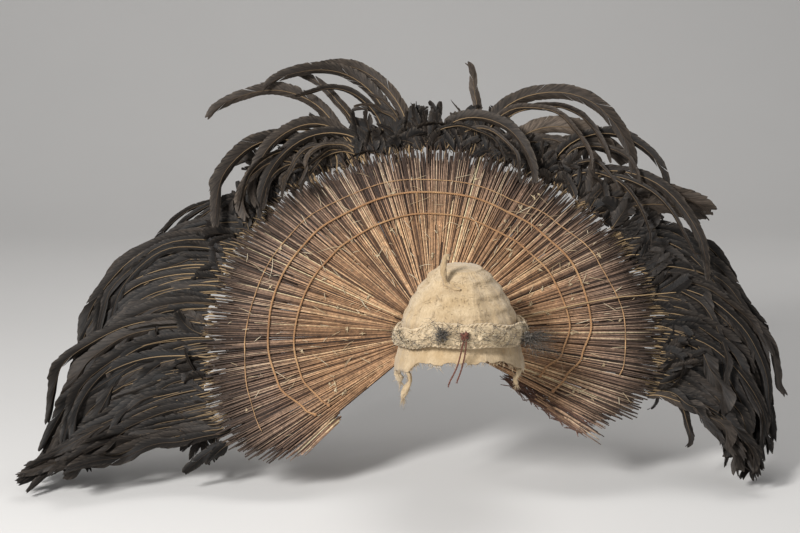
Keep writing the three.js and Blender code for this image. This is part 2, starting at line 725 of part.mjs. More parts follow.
const BARKCLOTH = { color: 0xc9b491, roughness: 0.9, metalness: 0 };
const ROLLED_CLOTH = { color: 0xb7a27d, roughness: 0.95, metalness: 0 };
const STICKS = { color: 0x8d6a4c, roughness: 0.8, metalness: 0 };
const CORD = { color: 0xb08355, roughness: 0.85, metalness: 0 };
const RED_CORD = { color: 0x7a3d28, roughness: 0.85, metalness: 0 };
const TUFT = { color: 0x35312c, roughness: 0.9, metalness: 0 };
const QUILL_FINISH = { color: 0xc8a877, roughness: 0.5, metalness: 0 };
const FEATHER = { color: 0x2f2a28, roughness: 0.6, metalness: 0 };

const headdress = new THREE.Group();

function place(name, geometry, finish) {
  const mesh = new THREE.Mesh(geometry, new THREE.MeshStandardMaterial(finish));
  mesh.name = name;
  headdress.add(mesh);
}

place("cap", capGeometry(), BARKCLOTH);
const roll = browRoll();
place("brow_roll", roll, ROLLED_CLOTH);
place("crown_tie", crownTie(), BARKCLOTH);
place("brow_knot", clearOf(browKnot(), roll, [0, -1, 0]), RED_CORD);
Object.entries(BROW_CORDS).forEach(([name, rows]) => place(name, browCord(rows), RED_CORD));
place("brow_tuft", clearOf(tuft(BROW_TUFT), roll, [0, -1, 0]), TUFT);
place("side_tuft", clearOf(tuft(SIDE_TUFT), roll, [0.9, -0.4, 0]), TUFT);
Object.entries(HEM_SCRAPS).forEach(([name, stations]) => place(name, hemScrap(stations), BARKCLOTH));
place("fan_binding", fanBinding(), ROLLED_CLOTH);
place("stick_fan", fanGeometry(), STICKS);
Object.entries(UNDER_LAYERS).forEach(([name, layer]) => place(name, underLayer(layer), STICKS));
place("long_quill", longQuill(), QUILL_FINISH);
CORDS.forEach((cord) => place(cord.name, cordGeometry(cord), CORD));
place("cord_link", cordLink(), CORD);
place("left_wing_plumes", plumes(LEFT_WING), FEATHER);
place("left_crown_plumes", plumes(LEFT_CROWN), FEATHER);
place("right_crown_plumes", plumes(RIGHT_CROWN), FEATHER);
place("right_wing_plumes", plumes(RIGHT_WING), FEATHER);

export default headdress;
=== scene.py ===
import functools
import math
import random

import bpy
import numpy as np
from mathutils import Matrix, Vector, noise


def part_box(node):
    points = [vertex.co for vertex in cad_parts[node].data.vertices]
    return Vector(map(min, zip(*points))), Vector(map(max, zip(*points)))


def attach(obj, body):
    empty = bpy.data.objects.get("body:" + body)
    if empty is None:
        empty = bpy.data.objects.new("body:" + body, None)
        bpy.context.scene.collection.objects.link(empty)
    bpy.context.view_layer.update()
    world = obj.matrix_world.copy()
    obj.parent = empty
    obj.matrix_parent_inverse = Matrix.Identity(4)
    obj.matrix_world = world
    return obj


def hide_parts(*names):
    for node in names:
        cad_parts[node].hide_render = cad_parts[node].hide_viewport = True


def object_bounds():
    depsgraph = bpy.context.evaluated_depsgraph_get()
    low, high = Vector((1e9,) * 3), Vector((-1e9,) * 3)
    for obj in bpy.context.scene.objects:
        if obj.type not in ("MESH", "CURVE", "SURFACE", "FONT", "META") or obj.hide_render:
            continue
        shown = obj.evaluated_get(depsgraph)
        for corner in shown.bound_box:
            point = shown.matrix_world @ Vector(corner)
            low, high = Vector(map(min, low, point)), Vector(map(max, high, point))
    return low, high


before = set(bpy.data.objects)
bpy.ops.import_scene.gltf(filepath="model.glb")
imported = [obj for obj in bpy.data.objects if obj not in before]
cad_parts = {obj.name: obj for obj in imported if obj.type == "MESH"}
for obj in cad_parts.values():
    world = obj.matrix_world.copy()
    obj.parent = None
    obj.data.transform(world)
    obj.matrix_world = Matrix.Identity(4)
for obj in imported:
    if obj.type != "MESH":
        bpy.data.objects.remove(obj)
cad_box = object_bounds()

# A feathered dance headdress: barkcloth cap, crescent fan of thin sticks, cords, and tail feathers
# round the fan's rim. Tables are in millimetres and degrees, as in the part; MM turns them to metres.
MM = 0.001
SEED = 20
rng = random.Random(SEED)


# ------------------------------------------------------------------ camera, first of all

CAMERA_LENS = 85.0                 # on a 36 mm sensor
SENSOR = 36.0
CAMERA_ELEVATION = math.radians(12.0)
SPAN_SEEN = 1.248                  # metres across the view at the cap
SEAT_IN_VIEW = (0.0928, -0.1225)   # the head seat, right of and above the middle of the view, in metres


def add_camera():
    distance = SPAN_SEEN * CAMERA_LENS / SENSOR
    back = Vector((0, -math.cos(CAMERA_ELEVATION), math.sin(CAMERA_ELEVATION)))
    up = Vector((0, math.sin(CAMERA_ELEVATION), math.cos(CAMERA_ELEVATION)))
    right = Vector((1, 0, 0))
    data = bpy.data.cameras.new("camera")
    data.lens = CAMERA_LENS
    data.sensor_width = SENSOR
    data.clip_end = 20
    camera = bpy.data.objects.new("camera", data)
    camera.location = back * distance - right * SEAT_IN_VIEW[0] - up * SEAT_IN_VIEW[1]
    camera.rotation_euler = (math.pi / 2 - CAMERA_ELEVATION, 0, 0)
    bpy.context.collection.objects.link(camera)
    bpy.context.scene.camera = camera


add_camera()


# ------------------------------------------------------------------ the part's own sizes

FAN_MIDDLE = np.array([-38.0, 133.0, -14.0])
FAN_LEAN = math.radians(32)
FAN_FOOT = 40
FAN_CREST = 2.6
GAP = 0.35
FAN_REACH = 350
FAN_SWELL = 4
FAN_FORWARD = 40
FAN_ACROSS = np.array([1.0, 0.0, 0.0])
FAN_UP = np.array([0.0, math.sin(FAN_LEAN), math.cos(FAN_LEAN)])
FAN_FACE = np.array([0.0, -math.cos(FAN_LEAN), math.sin(FAN_LEAN)])
# angle, stick tip, outer cord, inner cord and thin thread radii
FAN_COLUMNS = ("at", "tip", "outer", "inner", "thread")
FAN_RADII = np.array([
    (-31, 300, 214, 180, 268),
    (-20, 344, 226, 190, 300),
    (-10, 354, 243, 211, 312),
    (3, 353, 257, 222, 312),
    (25, 338, 258, 217, 298),
    (45, 322, 251, 211, 282),
    (62, 311, 245, 206, 268),
    (88, 309, 245, 207, 268),
    (115, 318, 252, 210, 278),
    (140, 339, 262, 214, 291),
    (165, 350, 268, 221, 298),
    (185, 357, 270, 228, 308),
    (200, 365, 267, 228, 317),
    (213, 360, 246, 216, 323),
    (222, 318, 226, 204, 300),
], float)
FAN_FROM, FAN_TO = FAN_RADII[0, 0], FAN_RADII[-1, 0]


def look_up(rows, column, value):
    """A column of a table, smoothly between its rows, at a value of its first column."""
    value = min(max(value, rows[0, 0]), rows[-1, 0])
    i = min(int(np.searchsorted(rows[:, 0], value, side="right")) - 1, len(rows) - 2)
    share = (value - rows[i, 0]) / (rows[i + 1, 0] - rows[i, 0])
    smooth = share * share * (3 - 2 * share)
    return rows[i, column] + (rows[i + 1, column] - rows[i, column]) * smooth


def fan_radius(angle, name):
    return look_up(FAN_RADII, FAN_COLUMNS.index(name), angle)


def fan_point(angle, radius, lift):
    """A point of the fan in mm, at an angle in degrees, a radius and a lift from its middle."""
    turn = math.radians(angle)
    share = radius / FAN_REACH
    wave = FAN_SWELL * math.sin(math.radians(angle * 5 + 20))
    low = max(-math.sin(turn), 0)
    bent = share * (wave + FAN_FORWARD * low)
    return (FAN_MIDDLE + FAN_ACROSS * (radius * math.cos(turn)) + FAN_UP * (radius * math.sin(turn))
            + FAN_FACE * (lift + bent))


# ------------------------------------------------------------------ mesh maker

class Maker:
    """Gathers points, faces and a few numbers for each point, and makes one mesh of them."""

    def __init__(self, *names):
        self.names = names
        self.points = []
        self.faces = []
        self.values = []
        self.count = 0

    def add(self, points, faces, values):
        points = np.asarray(points, float)
        n = len(points)
        values = np.asarray(values, float)
        if values.ndim == 1:
            values = np.tile(values, (n, 1))
        self.points.append(points)
        self.values.append(values)
        for face in faces:
            face = np.asarray(face, int)
            if len(face):
                self.faces.append(face + self.count)
        self.count += n

    def object(self, name, material):
        points = np.concatenate(self.points) * MM
        mesh = bpy.data.meshes.new(name)
        corners = np.concatenate([f.ravel() for f in self.faces])
        sizes = np.concatenate([np.full(len(f), f.shape[1]) for f in self.faces])
        starts = np.concatenate([[0], np.cumsum(sizes)[:-1]])
        mesh.vertices.add(len(points))
        mesh.vertices.foreach_set("co", points.ravel())
        mesh.loops.add(len(corners))
        mesh.loops.foreach_set("vertex_index", corners.astype(np.int32))
        mesh.polygons.add(len(sizes))
        mesh.polygons.foreach_set("loop_start", starts.astype(np.int32))
        mesh.polygons.foreach_set("use_smooth", np.full(len(sizes), True))
        values = np.concatenate(self.values)
        for k, attribute in enumerate(self.names):
            layer = mesh.attributes.new(attribute, "FLOAT", "POINT")
            layer.data.foreach_set("value", np.ascontiguousarray(values[:, k], np.float32))
        mesh.update(calc_edges=True)
        mesh.validate()
        mesh.materials.append(material)
        piece = bpy.data.objects.new(name, mesh)
        bpy.context.collection.objects.link(piece)
        return piece


def fit(maker, name, material, node=None):
    """Makes the piece, rides it on the root, and hides the node that it replaces, if one is given."""
    piece = maker.object(name, material)
    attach(piece, "root")
    if node:
        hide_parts(node)
    return piece


def frames_along(route, hint):
    """Tangents, sides and faces along a route of points; the faces turn towards the hint."""
    route = np.asarray(route, float)
    along = np.gradient(route, axis=0)
    along /= np.linalg.norm(along, axis=1, keepdims=True) + 1e-9
    side = np.cross(along, hint)
    side /= np.linalg.norm(side, axis=1, keepdims=True) + 1e-9
    face = np.cross(side, along)
    return along, side, face


@functools.cache
def grid(rows, columns, closed=True):
    """Quads between rows of points, round and round where closed."""
    faces = []
    span = columns if closed else columns - 1
    for j in range(rows - 1):
        for i in range(span):
            k = (i + 1) % columns
            faces.append((j * columns + i, j * columns + k, (j + 1) * columns + k, (j + 1) * columns + i))
    return np.array(faces, int)


def end_fans(rows, columns):
    """Triangles that close the first and last ring at the two points that follow the rings."""
    ring = np.arange(columns)
    after = (ring + 1) % columns
    last = (rows - 1) * columns
    middle = rows * columns
    return np.vstack([np.stack([np.full(columns, middle), after, ring], axis=1),
                      np.stack([np.full(columns, middle + 1), last + ring, last + after], axis=1)])


def tube(maker, route, radii, sides, values, hint=(0, -1, 0.01), wobble=None):
    """A closed round tube along a route, with a radius at each point; wobble shapes its rings."""
    route = np.asarray(route, float)
    radii = np.broadcast_to(np.asarray(radii, float), (len(route),))
    _, side, face = frames_along(route, np.asarray(hint, float))
    turns = np.arange(sides) * (2 * math.pi / sides)
    size = radii[:, None] * (np.ones((len(route), sides)) if wobble is None else wobble)
    rings = (route[:, None, :]
             + side[:, None, :] * (size * np.cos(turns))[:, :, None]
             + face[:, None, :] * (size * np.sin(turns))[:, :, None])
    points = np.vstack([rings.reshape(-1, 3), route[0], route[-1]])
    values = np.asarray(values, float)
    if values.ndim == 2:
        values = np.vstack([np.repeat(values, sides, axis=0), values[0], values[-1]])
    maker.add(points, [grid(len(route), sides), end_fans(len(route), sides)], values)


def smooth_course(points, count):
    """A smooth course of many points through a few given ones."""
    points = np.asarray(points, float)
    padded = np.vstack([2 * points[0] - points[1], points, 2 * points[-1] - points[-2]])
    t = np.linspace(0, len(points) - 1 - 1e-6, count)
    i = t.astype(int)
    u = (t - i)[:, None]
    a, b, c, d = padded[i], padded[i + 1], padded[i + 2], padded[i + 3]
    return 0.5 * (2 * b + (c - a) * u + (2 * a - 5 * b + 4 * c - d) * u ** 2
                  + (3 * b - a - 3 * c + d) * u ** 3)


def rough(point, size, salt=0.0):
    """Smooth noise from about -1 to 1 at a point in mm, for bumps of the given size."""
    return noise.noise(Vector((point[0] / size + salt, point[1] / size, point[2] / size)))


def scatter(x, y, z):
    """A random offset with a spread along each axis."""
    return np.array([rng.gauss(0, x), rng.gauss(0, y), rng.gauss(0, z)])


def forwards(spread):
    """A random unit direction on the front's side."""
    way = np.array([rng.gauss(0, 1), -abs(rng.gauss(0, spread)), rng.gauss(0, 1)])
    return way / np.linalg.norm(way)


def outward(direction, rise=0.0):
    """The way out of the cap at a direction round it."""
    turn = math.radians(direction)
    return np.array([math.cos(turn), math.sin(turn), rise])


def drawn_tone(tones, low, high):
    """A tone drawn about a mean with a spread, kept between two ends."""
    return min(max(rng.gauss(*tones), low), high)


# ------------------------------------------------------------------ materials

class Nodes:
    """A short way to write a node material."""

    def __init__(self, name):
        self.material = bpy.data.materials.new(name)
        self.material.use_nodes = True
        self.tree = self.material.node_tree
        self.shader = self.tree.nodes["Principled BSDF"]
        self.place = self.tree.nodes.new("ShaderNodeTexCoord").outputs["Object"]

    def link(self, source, target):
        self.tree.links.new(source, target)

    def new(self, kind, inputs=None, **settings):
        node = self.tree.nodes.new("ShaderNode" + kind)
        for key, value in settings.items():
            setattr(node, key, value)
        for key, value in (inputs or {}).items():
            if isinstance(value, bpy.types.NodeSocket):
                self.link(value, node.inputs[key])
            else:
                node.inputs[key].default_value = value
        return node

    def value(self, name):
        return self.new("Attribute", attribute_name=name).outputs["Fac"]

    def noise(self, scale, detail=4.0, roughness=0.6, stretch=None):
        place = self.place
        if stretch:
            place = self.new("Mapping", {"Vector": place, "Scale": stretch}).outputs["Vector"]
        settings = {"Vector": place, "Scale": scale, "Detail": detail, "Roughness": roughness}
        return self.new("TexNoise", settings).outputs["Fac"]

    def ramp(self, source, stops):
        ramp = self.new("ValToRGB", {"Fac": source})
        elements = ramp.color_ramp.elements
        while len(elements) < len(stops):
            elements.new(0.5)
        for element, (position, colour) in zip(elements, stops):
            element.position = position
            element.color = (*colour, 1.0) if isinstance(colour, tuple) else (colour, colour, colour, 1.0)
        return ramp.outputs["Color"]

    def mix(self, share, a, b, blend="MIX"):
        node = self.new("Mix", data_type="RGBA", blend_type=blend)
        for socket, value in ((node.inputs[0], share), (node.inputs[6], a), (node.inputs[7], b)):
            if isinstance(value, bpy.types.NodeSocket):
                self.link(value, socket)
            else:
                socket.default_value = (*value, 1.0) if isinstance(value, tuple) else value
        return node.outputs[2]

    def maths(self, operation, a, b=0.0, clamp=False):
        node = self.new("Math", operation=operation, use_clamp=clamp)
        for socket, value in zip(node.inputs, (a, b)):
            if isinstance(value, bpy.types.NodeSocket):
                self.link(value, socket)
            else:
                socket.default_value = value
        return node.outputs[0]

    def finish(self, colour, roughness, bump=None, strength=0.5, depth=0.001, sheen=0.0, specular=0.3):
        self.link(colour, self.shader.inputs["Base Color"])
        if isinstance(roughness, bpy.types.NodeSocket):
            self.link(roughness, self.shader.inputs["Roughness"])
        else:
            self.shader.inputs["Roughness"].default_value = roughness
        self.shader.inputs["Specular IOR Level"].default_value = specular
        if sheen:
            self.shader.inputs["Sheen Weight"].default_value = sheen
            self.shader.inputs["Sheen Roughness"].default_value = 0.5
        if bump is not None:
            node = self.new("Bump", {"Height": bump, "Strength": strength, "Distance": depth})
            self.link(node.outputs["Normal"], self.shader.inputs["Normal"])
        return self.material


STICK_STOPS = (0.0, 0.22, 0.45, 0.7, 0.93, 1.0)
WARM_STICKS = ((0.020, 0.011, 0.007), (0.075, 0.038, 0.020), (0.28, 0.155, 0.080),
               (0.46, 0.27, 0.145), (0.62, 0.42, 0.24), (0.72, 0.58, 0.34))
DULL_STICKS = ((0.017, 0.011, 0.008), (0.060, 0.036, 0.025), (0.20, 0.125, 0.085),
               (0.34, 0.225, 0.155), (0.50, 0.37, 0.25), (0.60, 0.50, 0.31))
STICK_TIP = (0.055, 0.038, 0.028)


def stick_material():
    """Dry leaf midribs: warm tan near the cap, greyer and duller past the outer cord; each its own tone."""
    n = Nodes("stick_finish")
    out, tone = n.value("out"), n.value("tone")
    warm = n.ramp(tone, list(zip(STICK_STOPS, WARM_STICKS)))
    dull = n.ramp(tone, list(zip(STICK_STOPS, DULL_STICKS)))
    base = n.mix(n.ramp(out, [(0.55, 0.0), (0.82, 1.0)]), warm, dull)
    base = n.mix(n.ramp(out, [(0.84, 0.0), (1.0, 0.75)]), base, STICK_TIP)
    streak = n.noise(900, 3, 0.6, (0.25, 0.25, 0.25))
    blotch = n.noise(70, 4, 0.6)
    colour = n.mix(0.75, base, n.ramp(streak, [(0.3, 0.45), (0.7, 1.35)]), "MULTIPLY")
    colour = n.mix(0.6, colour, n.ramp(blotch, [(0.3, 0.6), (0.65, 1.15)]), "MULTIPLY")
    return n.finish(colour, n.ramp(streak, [(0.3, 0.55), (0.7, 0.8)]), streak, 0.6, 0.0006)


def cord_material(name, dark, mid, pale):
    n = Nodes(name)
    tone = n.value("tone")
    fibre = n.noise(1500, 3, 0.65)
    soil = n.noise(60, 4, 0.6)
    base = n.ramp(tone, [(0.0, dark), (0.5, mid), (1.0, pale)])
    colour = n.mix(0.8, base, n.ramp(fibre, [(0.3, 0.5), (0.7, 1.3)]), "MULTIPLY")
    colour = n.mix(0.5, colour, n.ramp(soil, [(0.35, 0.6), (0.6, 1.1)]), "MULTIPLY")
    return n.finish(colour, 0.85, fibre, 0.7, 0.0004, sheen=0.15)


def barkcloth_material(name, pale, mid, dark, dirt_and_shade_share):
    """Beaten bark: cream felt with fine long fibres and brown stains, darkened by the soil value: real dirt,
    and on the cap and rolled band also painted shade in creases and beside the band.
    """
    n = Nodes(name)
    soil = n.value("soil")
    fibre = n.noise(420, 6, 0.7, (1.0, 1.0, 0.22))
    felt = n.noise(1600, 4, 0.7)
    patch = n.noise(26, 5, 0.62)
    spot = n.noise(210, 3, 0.5)
    base = n.mix(n.ramp(patch, [(0.38, 0.0), (0.62, 1.0)]), mid, pale)
    base = n.mix(n.ramp(fibre, [(0.35, 0.55), (0.6, 0.0)]), base, tuple(c * 0.72 for c in mid))
    base = n.mix(n.ramp(spot, [(0.68, 0.0), (0.76, 0.75)]), base, dark)
    # The soil value darkens the cloth towards the dark colour: dirt, and painted shade where the cap's
    # creases, the band's edges and the roll's dents set it.
    dirt_and_shade = n.maths("MULTIPLY", soil, n.ramp(n.noise(130, 5, 0.7), [(0.3, 0.25), (0.65, 1.0)]), True)
    base = n.mix(n.maths("MULTIPLY", dirt_and_shade, dirt_and_shade_share, True), base, dark)
    height = n.maths("ADD", n.maths("MULTIPLY", fibre, 0.7), n.maths("MULTIPLY", felt, 0.3))
    return n.finish(base, 0.92, height, 0.75, 0.0012, sheen=0.25, specular=0.15)


def feather_material(name, vane, worn_edge, shaft_pale, shaft_dark):
    """Vanes streaked along their barbs, darkest at the foot; the shaft goes from pale to dark."""
    n = Nodes(name)
    along, across, tone, barb = (n.value(key) for key in ("along", "across", "tone", "barb"))
    streaks = {"X": barb, "Y": n.maths("MULTIPLY", across, 0.6), "Z": 0.0}
    n.place = n.new("CombineXYZ", streaks).outputs["Vector"]
    coarse = n.noise(2.2, 3.0, 0.6)
    fine = n.noise(11.0, 4.0, 0.7)
    base = n.ramp(tone, [(0.0, vane[0]), (0.4, vane[1]), (0.75, vane[2]), (1.0, vane[3])])
    colour = n.mix(0.9, base, n.ramp(coarse, [(0.32, 0.35), (0.66, 1.7)]), "MULTIPLY")
    colour = n.mix(0.8, colour, n.ramp(fine, [(0.3, 0.5), (0.7, 1.5)]), "MULTIPLY")
    edge = n.maths("MULTIPLY", n.ramp(across, [(0.6, 0.0), (1.0, 0.7)]),
                   n.ramp(coarse, [(0.4, 0.0), (0.7, 1.0)]))
    colour = n.mix(edge, colour, worn_edge)
    shaft_mid = tuple(0.6 * a + 0.4 * b for a, b in zip(shaft_pale, shaft_dark))
    shaft = n.ramp(along, [(0.0, shaft_pale), (0.3, shaft_pale), (0.6, shaft_mid), (0.95, shaft_dark)])
    on_shaft = n.ramp(across, [(0.0, 1.0), (0.012, 1.0), (0.02, 0.0)])
    colour = n.mix(on_shaft, colour, shaft)
    height = n.maths("ADD", coarse, n.maths("MULTIPLY", fine, 0.5))
    gloss = n.ramp(fine, [(0.3, 0.45), (0.7, 0.7)])
    return n.finish(colour, gloss, height, 0.5, 0.0012, specular=0.2)


def plain_material(name, colour, roughness):
    n = Nodes(name)
    soft = n.noise(3, 2, 0.5)
    shade = n.mix(0.05, colour, n.ramp(soft, [(0.3, 0.8), (0.7, 1.1)]), "MULTIPLY")
    return n.finish(shade, roughness)


STICKS = stick_material()
CORD = cord_material("tan_cord_finish", (0.17, 0.075, 0.03), (0.36, 0.19, 0.085), (0.56, 0.36, 0.18))
RED_CORD = cord_material("red_cord_finish", (0.05, 0.018, 0.012), (0.13, 0.045, 0.028), (0.25, 0.10, 0.06))
FIBRE = cord_material("dark_fibre_finish", (0.018, 0.016, 0.014), (0.06, 0.05, 0.042), (0.22, 0.19, 0.15))
PALE_FIBRE = cord_material("pale_fibre_finish", (0.30, 0.21, 0.12), (0.52, 0.40, 0.24), (0.72, 0.62, 0.44))
MATTED = cord_material("matted_fibre_finish", (0.05, 0.022, 0.014), (0.12, 0.055, 0.034), (0.24, 0.13, 0.08))
CLOTH = barkcloth_material("barkcloth_finish", (0.56, 0.435, 0.28), (0.43, 0.31, 0.175),
                           (0.13, 0.080, 0.042), 0.85)
ROLLED = barkcloth_material("rolled_cloth_finish", (0.66, 0.52, 0.34), (0.46, 0.35, 0.22),
                            (0.075, 0.058, 0.042), 0.8)
DARK_VANE = feather_material("dark_feather_finish",
                             ((0.0030, 0.0024, 0.0020), (0.0080, 0.0062, 0.0050), (0.021, 0.0165, 0.0132),
                              (0.055, 0.043, 0.034)),
                             (0.075, 0.060, 0.047), (0.40, 0.275, 0.145), (0.035, 0.024, 0.016))
BROWN_VANE = feather_material("brown_feather_finish",
                              ((0.0040, 0.0030, 0.0024), (0.014, 0.0105, 0.0080), (0.040, 0.030, 0.0225),
                               (0.095, 0.072, 0.054)),
                              (0.12, 0.095, 0.072), (0.34, 0.23, 0.12), (0.05, 0.033, 0.021))


# ------------------------------------------------------------------ free cord ends at the brow

BROW_CORD_RADIUS = 1.2
BROW_CORDS = {
    "brow_cord_long": ((2, -122, 36.2), (0.5, -122.4, 30), (-1.5, -122, 20), (-4, -120, 8), (-7.5, -118, -4),
                       (-12, -117, -15), (-17, -116.5, -25), (-20, -116, -33)),
    "brow_cord_short": ((6, -122, 36.2), (5.6, -122.4, 28), (4.2, -122, 16), (2, -120, 4), (-1, -118.5, -8),
                        (-4, -117.5, -18), (-7, -117, -26)),
}


def brow_cords():
    for name, points in BROW_CORDS.items():
        maker = Maker("tone")
        route = smooth_course(points, 90)
        sides = 10
        turns = np.arange(sides) * 2 * math.pi / sides
        twist = np.linspace(0, 13 * 2 * math.pi, len(route))[:, None]
        lobes = 0.96 + 0.09 * np.cos(2 * turns[None, :] - twist)
        tube(maker, route, BROW_CORD_RADIUS, sides, [0.5], hint=(0, -1, 0.1), wobble=lobes)
        piece = fit(maker, name + "_twisted", RED_CORD, name)
        maker = Maker("tone")
        end = route[-1]
        for _ in range(14):
            way = np.array([rng.gauss(0, 0.35), rng.gauss(0, 0.3), -1])
            reach = rng.uniform(2, 5)
            strand = [end + way * reach * t + np.array([rng.gauss(0, 0.2), 0, 0])
                      for t in (-0.4, 0.2, 0.6, 1)]
            tube(maker, strand, [0.4, 0.3, 0.22, 0.1], 3, [rng.uniform(0.3, 0.9)])
        fray = fit(maker, name + "_fray", RED_CORD)


brow_cords()


# ------------------------------------------------------------------ fan of sticks

STICK_COUNT = 300                # from the foot to the rim
FILLER_COUNT = 260               # that start part of the way out
BACK_STICK_COUNT = 600
RIM_STICK_COUNT = 690            # short ones behind the tips, darkened as painted shade
STICK_STATIONS = 8
STICK_RADIUS = 1.1
STICK_TONES = (0.52, 0.2)         # mean and spread
PALE_STICK_SHARE = 0.03
BROKEN_STICK_SHARE = 0.07
BUNDLE = 2.3                     # degrees between the bundles that the sticks gather into at the foot


def add_stick(maker, angle, start, tip, lift, radius, tone, sides=5, gather=0.45):
    """One thin tapering midrib, a little crooked; near the foot it leans towards its bundle."""
    shares = np.linspace(0, 1, STICK_STATIONS)
    sway = rng.gauss(0, 0.3)
    kink = rng.gauss(0, 0.8)
    phase = rng.uniform(0, 6.28)
    bundle = (math.floor(angle / BUNDLE) + 0.5 + 0.25 * math.sin(angle * 1.7)) * BUNDLE
    route = []
    for share in shares:
        r = start + (tip - start) * share
        pull = (bundle - angle) * gather * math.exp(-max(r - 90, 0) / 75)
        drift = sway * (share - 0.5) + 0.12 * math.sin(share * 7 + phase) * (60 / (r + 30)) + pull
        height = lift * (0.35 + 0.65 * share) + kink * math.sin(share * 3.1) * share
        route.append(fan_point(angle + drift, r, height))
    thick = radius * (1.12 - 0.3 * shares) * (1 + 0.08 * np.sin(shares * 23 + phase))
    thick[-1] *= 0.7
    out = (start + (tip - start) * shares) / FAN_REACH
    values = np.stack([out, np.full(STICK_STATIONS, tone)], axis=1)
    tube(maker, route, thick, sides, values, hint=FAN_FACE)


def stick_tone():
    tone = drawn_tone(STICK_TONES, 0.02, 0.9)
    return rng.uniform(0.92, 1.0) if rng.random() < PALE_STICK_SHARE else tone


def fan_of_sticks():
    span = FAN_TO - FAN_FROM
    maker = Maker("out", "tone")
    for i in range(STICK_COUNT + FILLER_COUNT):
        whole = i < STICK_COUNT
        place = (i + 0.5) / STICK_COUNT if whole else rng.random()
        angle = FAN_FROM + span * place + rng.gauss(0, 0.2)
        tip = fan_radius(angle, "tip") + rng.gauss(-3, 7)
        if rng.random() < BROKEN_STICK_SHARE:
            tip -= rng.uniform(12, 60)
        start = FAN_FOOT + rng.uniform(0, 10) if whole else rng.uniform(95, 190)
        add_stick(maker, angle, start, tip, rng.uniform(0.3, 2.2), STICK_RADIUS * rng.uniform(0.75, 1.25),
                  stick_tone())
    fit(maker, "fan_sticks", STICKS, "stick_fan")
    # The back and rim layers take darker tones (stick tone x 0.5 and x 0.3) as painted shade, so the gaps
    # between the front sticks read dark.
    maker = Maker("out", "tone")
    for i in range(BACK_STICK_COUNT):
        angle = FAN_FROM + span * (i + 0.5) / BACK_STICK_COUNT + rng.gauss(0, 0.12)
        tip = fan_radius(angle, "tip") + rng.gauss(-14, 9)
        add_stick(maker, angle, FAN_FOOT + rng.uniform(2, 60), tip, -rng.uniform(0.8, 3.4),
                  STICK_RADIUS * rng.uniform(1.0, 1.4), stick_tone() * 0.5, sides=4, gather=0.1)
    for i in range(RIM_STICK_COUNT):
        angle = FAN_FROM + span * (i + 0.5) / RIM_STICK_COUNT + rng.gauss(0, 0.12)
        tip = fan_radius(angle, "tip") + rng.gauss(8, 9)
        add_stick(maker, angle, tip - rng.uniform(70, 130), tip, -rng.uniform(1.0, 4.4),
                  STICK_RADIUS * rng.uniform(1.2, 1.9), stick_tone() * 0.3, sides=4, gather=0)
    fit(maker, "fan_back_sticks", STICKS)


STRAY_STRANDS = 230
STRAY_KNOTS = 46


def stray_fibres():
    """Pale bast fibres, knots and broken bits caught across the sticks."""
    maker = Maker("tone")
    for _ in range(STRAY_STRANDS):
        angle = rng.uniform(FAN_FROM + 2, FAN_TO - 2)
        radius = rng.uniform(95, 0.96 * fan_radius(angle, "tip"))
        length = rng.uniform(6, 26) * (2.2 if rng.random() < 0.1 else 1)
        turn = rng.gauss(0, 0.8)
        bow = rng.gauss(0, 0.2)
        strand = []
        for t in np.linspace(-0.5, 0.5, 6):
            ahead = length * t * math.cos(turn) + bow * length * (t * t - 0.25)
            aside = length * t * math.sin(turn) - bow * length * t
            strand.append(fan_point(angle + math.degrees(aside / radius), radius + ahead,
                                    FAN_CREST + 0.6 + 1.6 * math.cos(t * 3.1)))
        tube(maker, strand, rng.uniform(0.3, 0.55) * np.array([0.5, 1, 1, 1, 0.8, 0.4]), 4,
             [rng.uniform(0.1, 1.0)])
    for _ in range(STRAY_KNOTS):
        angle = rng.uniform(FAN_FROM + 2, FAN_TO - 2)
        radius = rng.uniform(110, 0.97 * fan_radius(angle, "tip"))
        middle = fan_point(angle, radius, FAN_CREST + 0.6)
        for _ in range(5):
            way = scatter(1, 0.4, 1) * rng.uniform(1.2, 3.6)
            bow = np.array([rng.gauss(0, 1), 0, rng.gauss(0, 1)])
            tube(maker, [middle - way, middle + bow - FAN_FACE * -0.8, middle + way], [0.4, 0.9, 0.3], 5,
                 [rng.uniform(0.0, 0.8)])
    fit(maker, "fan_stray_fibres", PALE_FIBRE)


fan_of_sticks()
stray_fibres()


# ------------------------------------------------------------------ cords on the fan

# name, column of its course, radius, first and last angle, and turns of ply per metre for the first two
RIM_CORDS = (
    ("outer_cord", "outer", 2.0, -28, 217, 150),
    ("inner_cord", "inner", 1.8, -24, 217, 165),
)
THREAD = ("rim_thread", "thread", 0.9, -14, 212)
LINK_ANGLE = 96.5
CORD_KNOT = ((-2.5, 0, -1), (0, -0.8, 0), (2.5, 0, 1.2))      # the knot at a cord's end
CORD_KNOT_RADII = (1.2, 2.4, 3.0, 3.2, 3.0, 2.2, 1.0)


def laid_cord(maker, route, radius, turns, plies=2, sides=6, sway=0.3, tone=0.55):
    """Plies that wind round each other along a route."""
    route = np.asarray(route, float)
    _, side, face = frames_along(route, FAN_FACE)
    lengths = np.concatenate([[0], np.cumsum(np.linalg.norm(np.diff(route, axis=0), axis=1))])
    turn = lengths / 1000 * turns * 2 * math.pi
    soil = np.array([rough((s, 0, 0), 60, 7.7) for s in lengths])
    for ply in range(plies):
        angle = turn + ply * 2 * math.pi / plies
        centre = (route + side * (radius * 0.5 * np.cos(angle))[:, None]
                  + face * (radius * 0.5 * np.sin(angle))[:, None])
        thick = radius * 0.56 * (1 + 0.1 * np.sin(lengths * 0.9 + ply * 2))
        tones = np.clip(tone + sway * soil, 0, 1)
        values = np.stack([tones], axis=1)
        tube(maker, centre, thick, sides, values, hint=FAN_FACE)


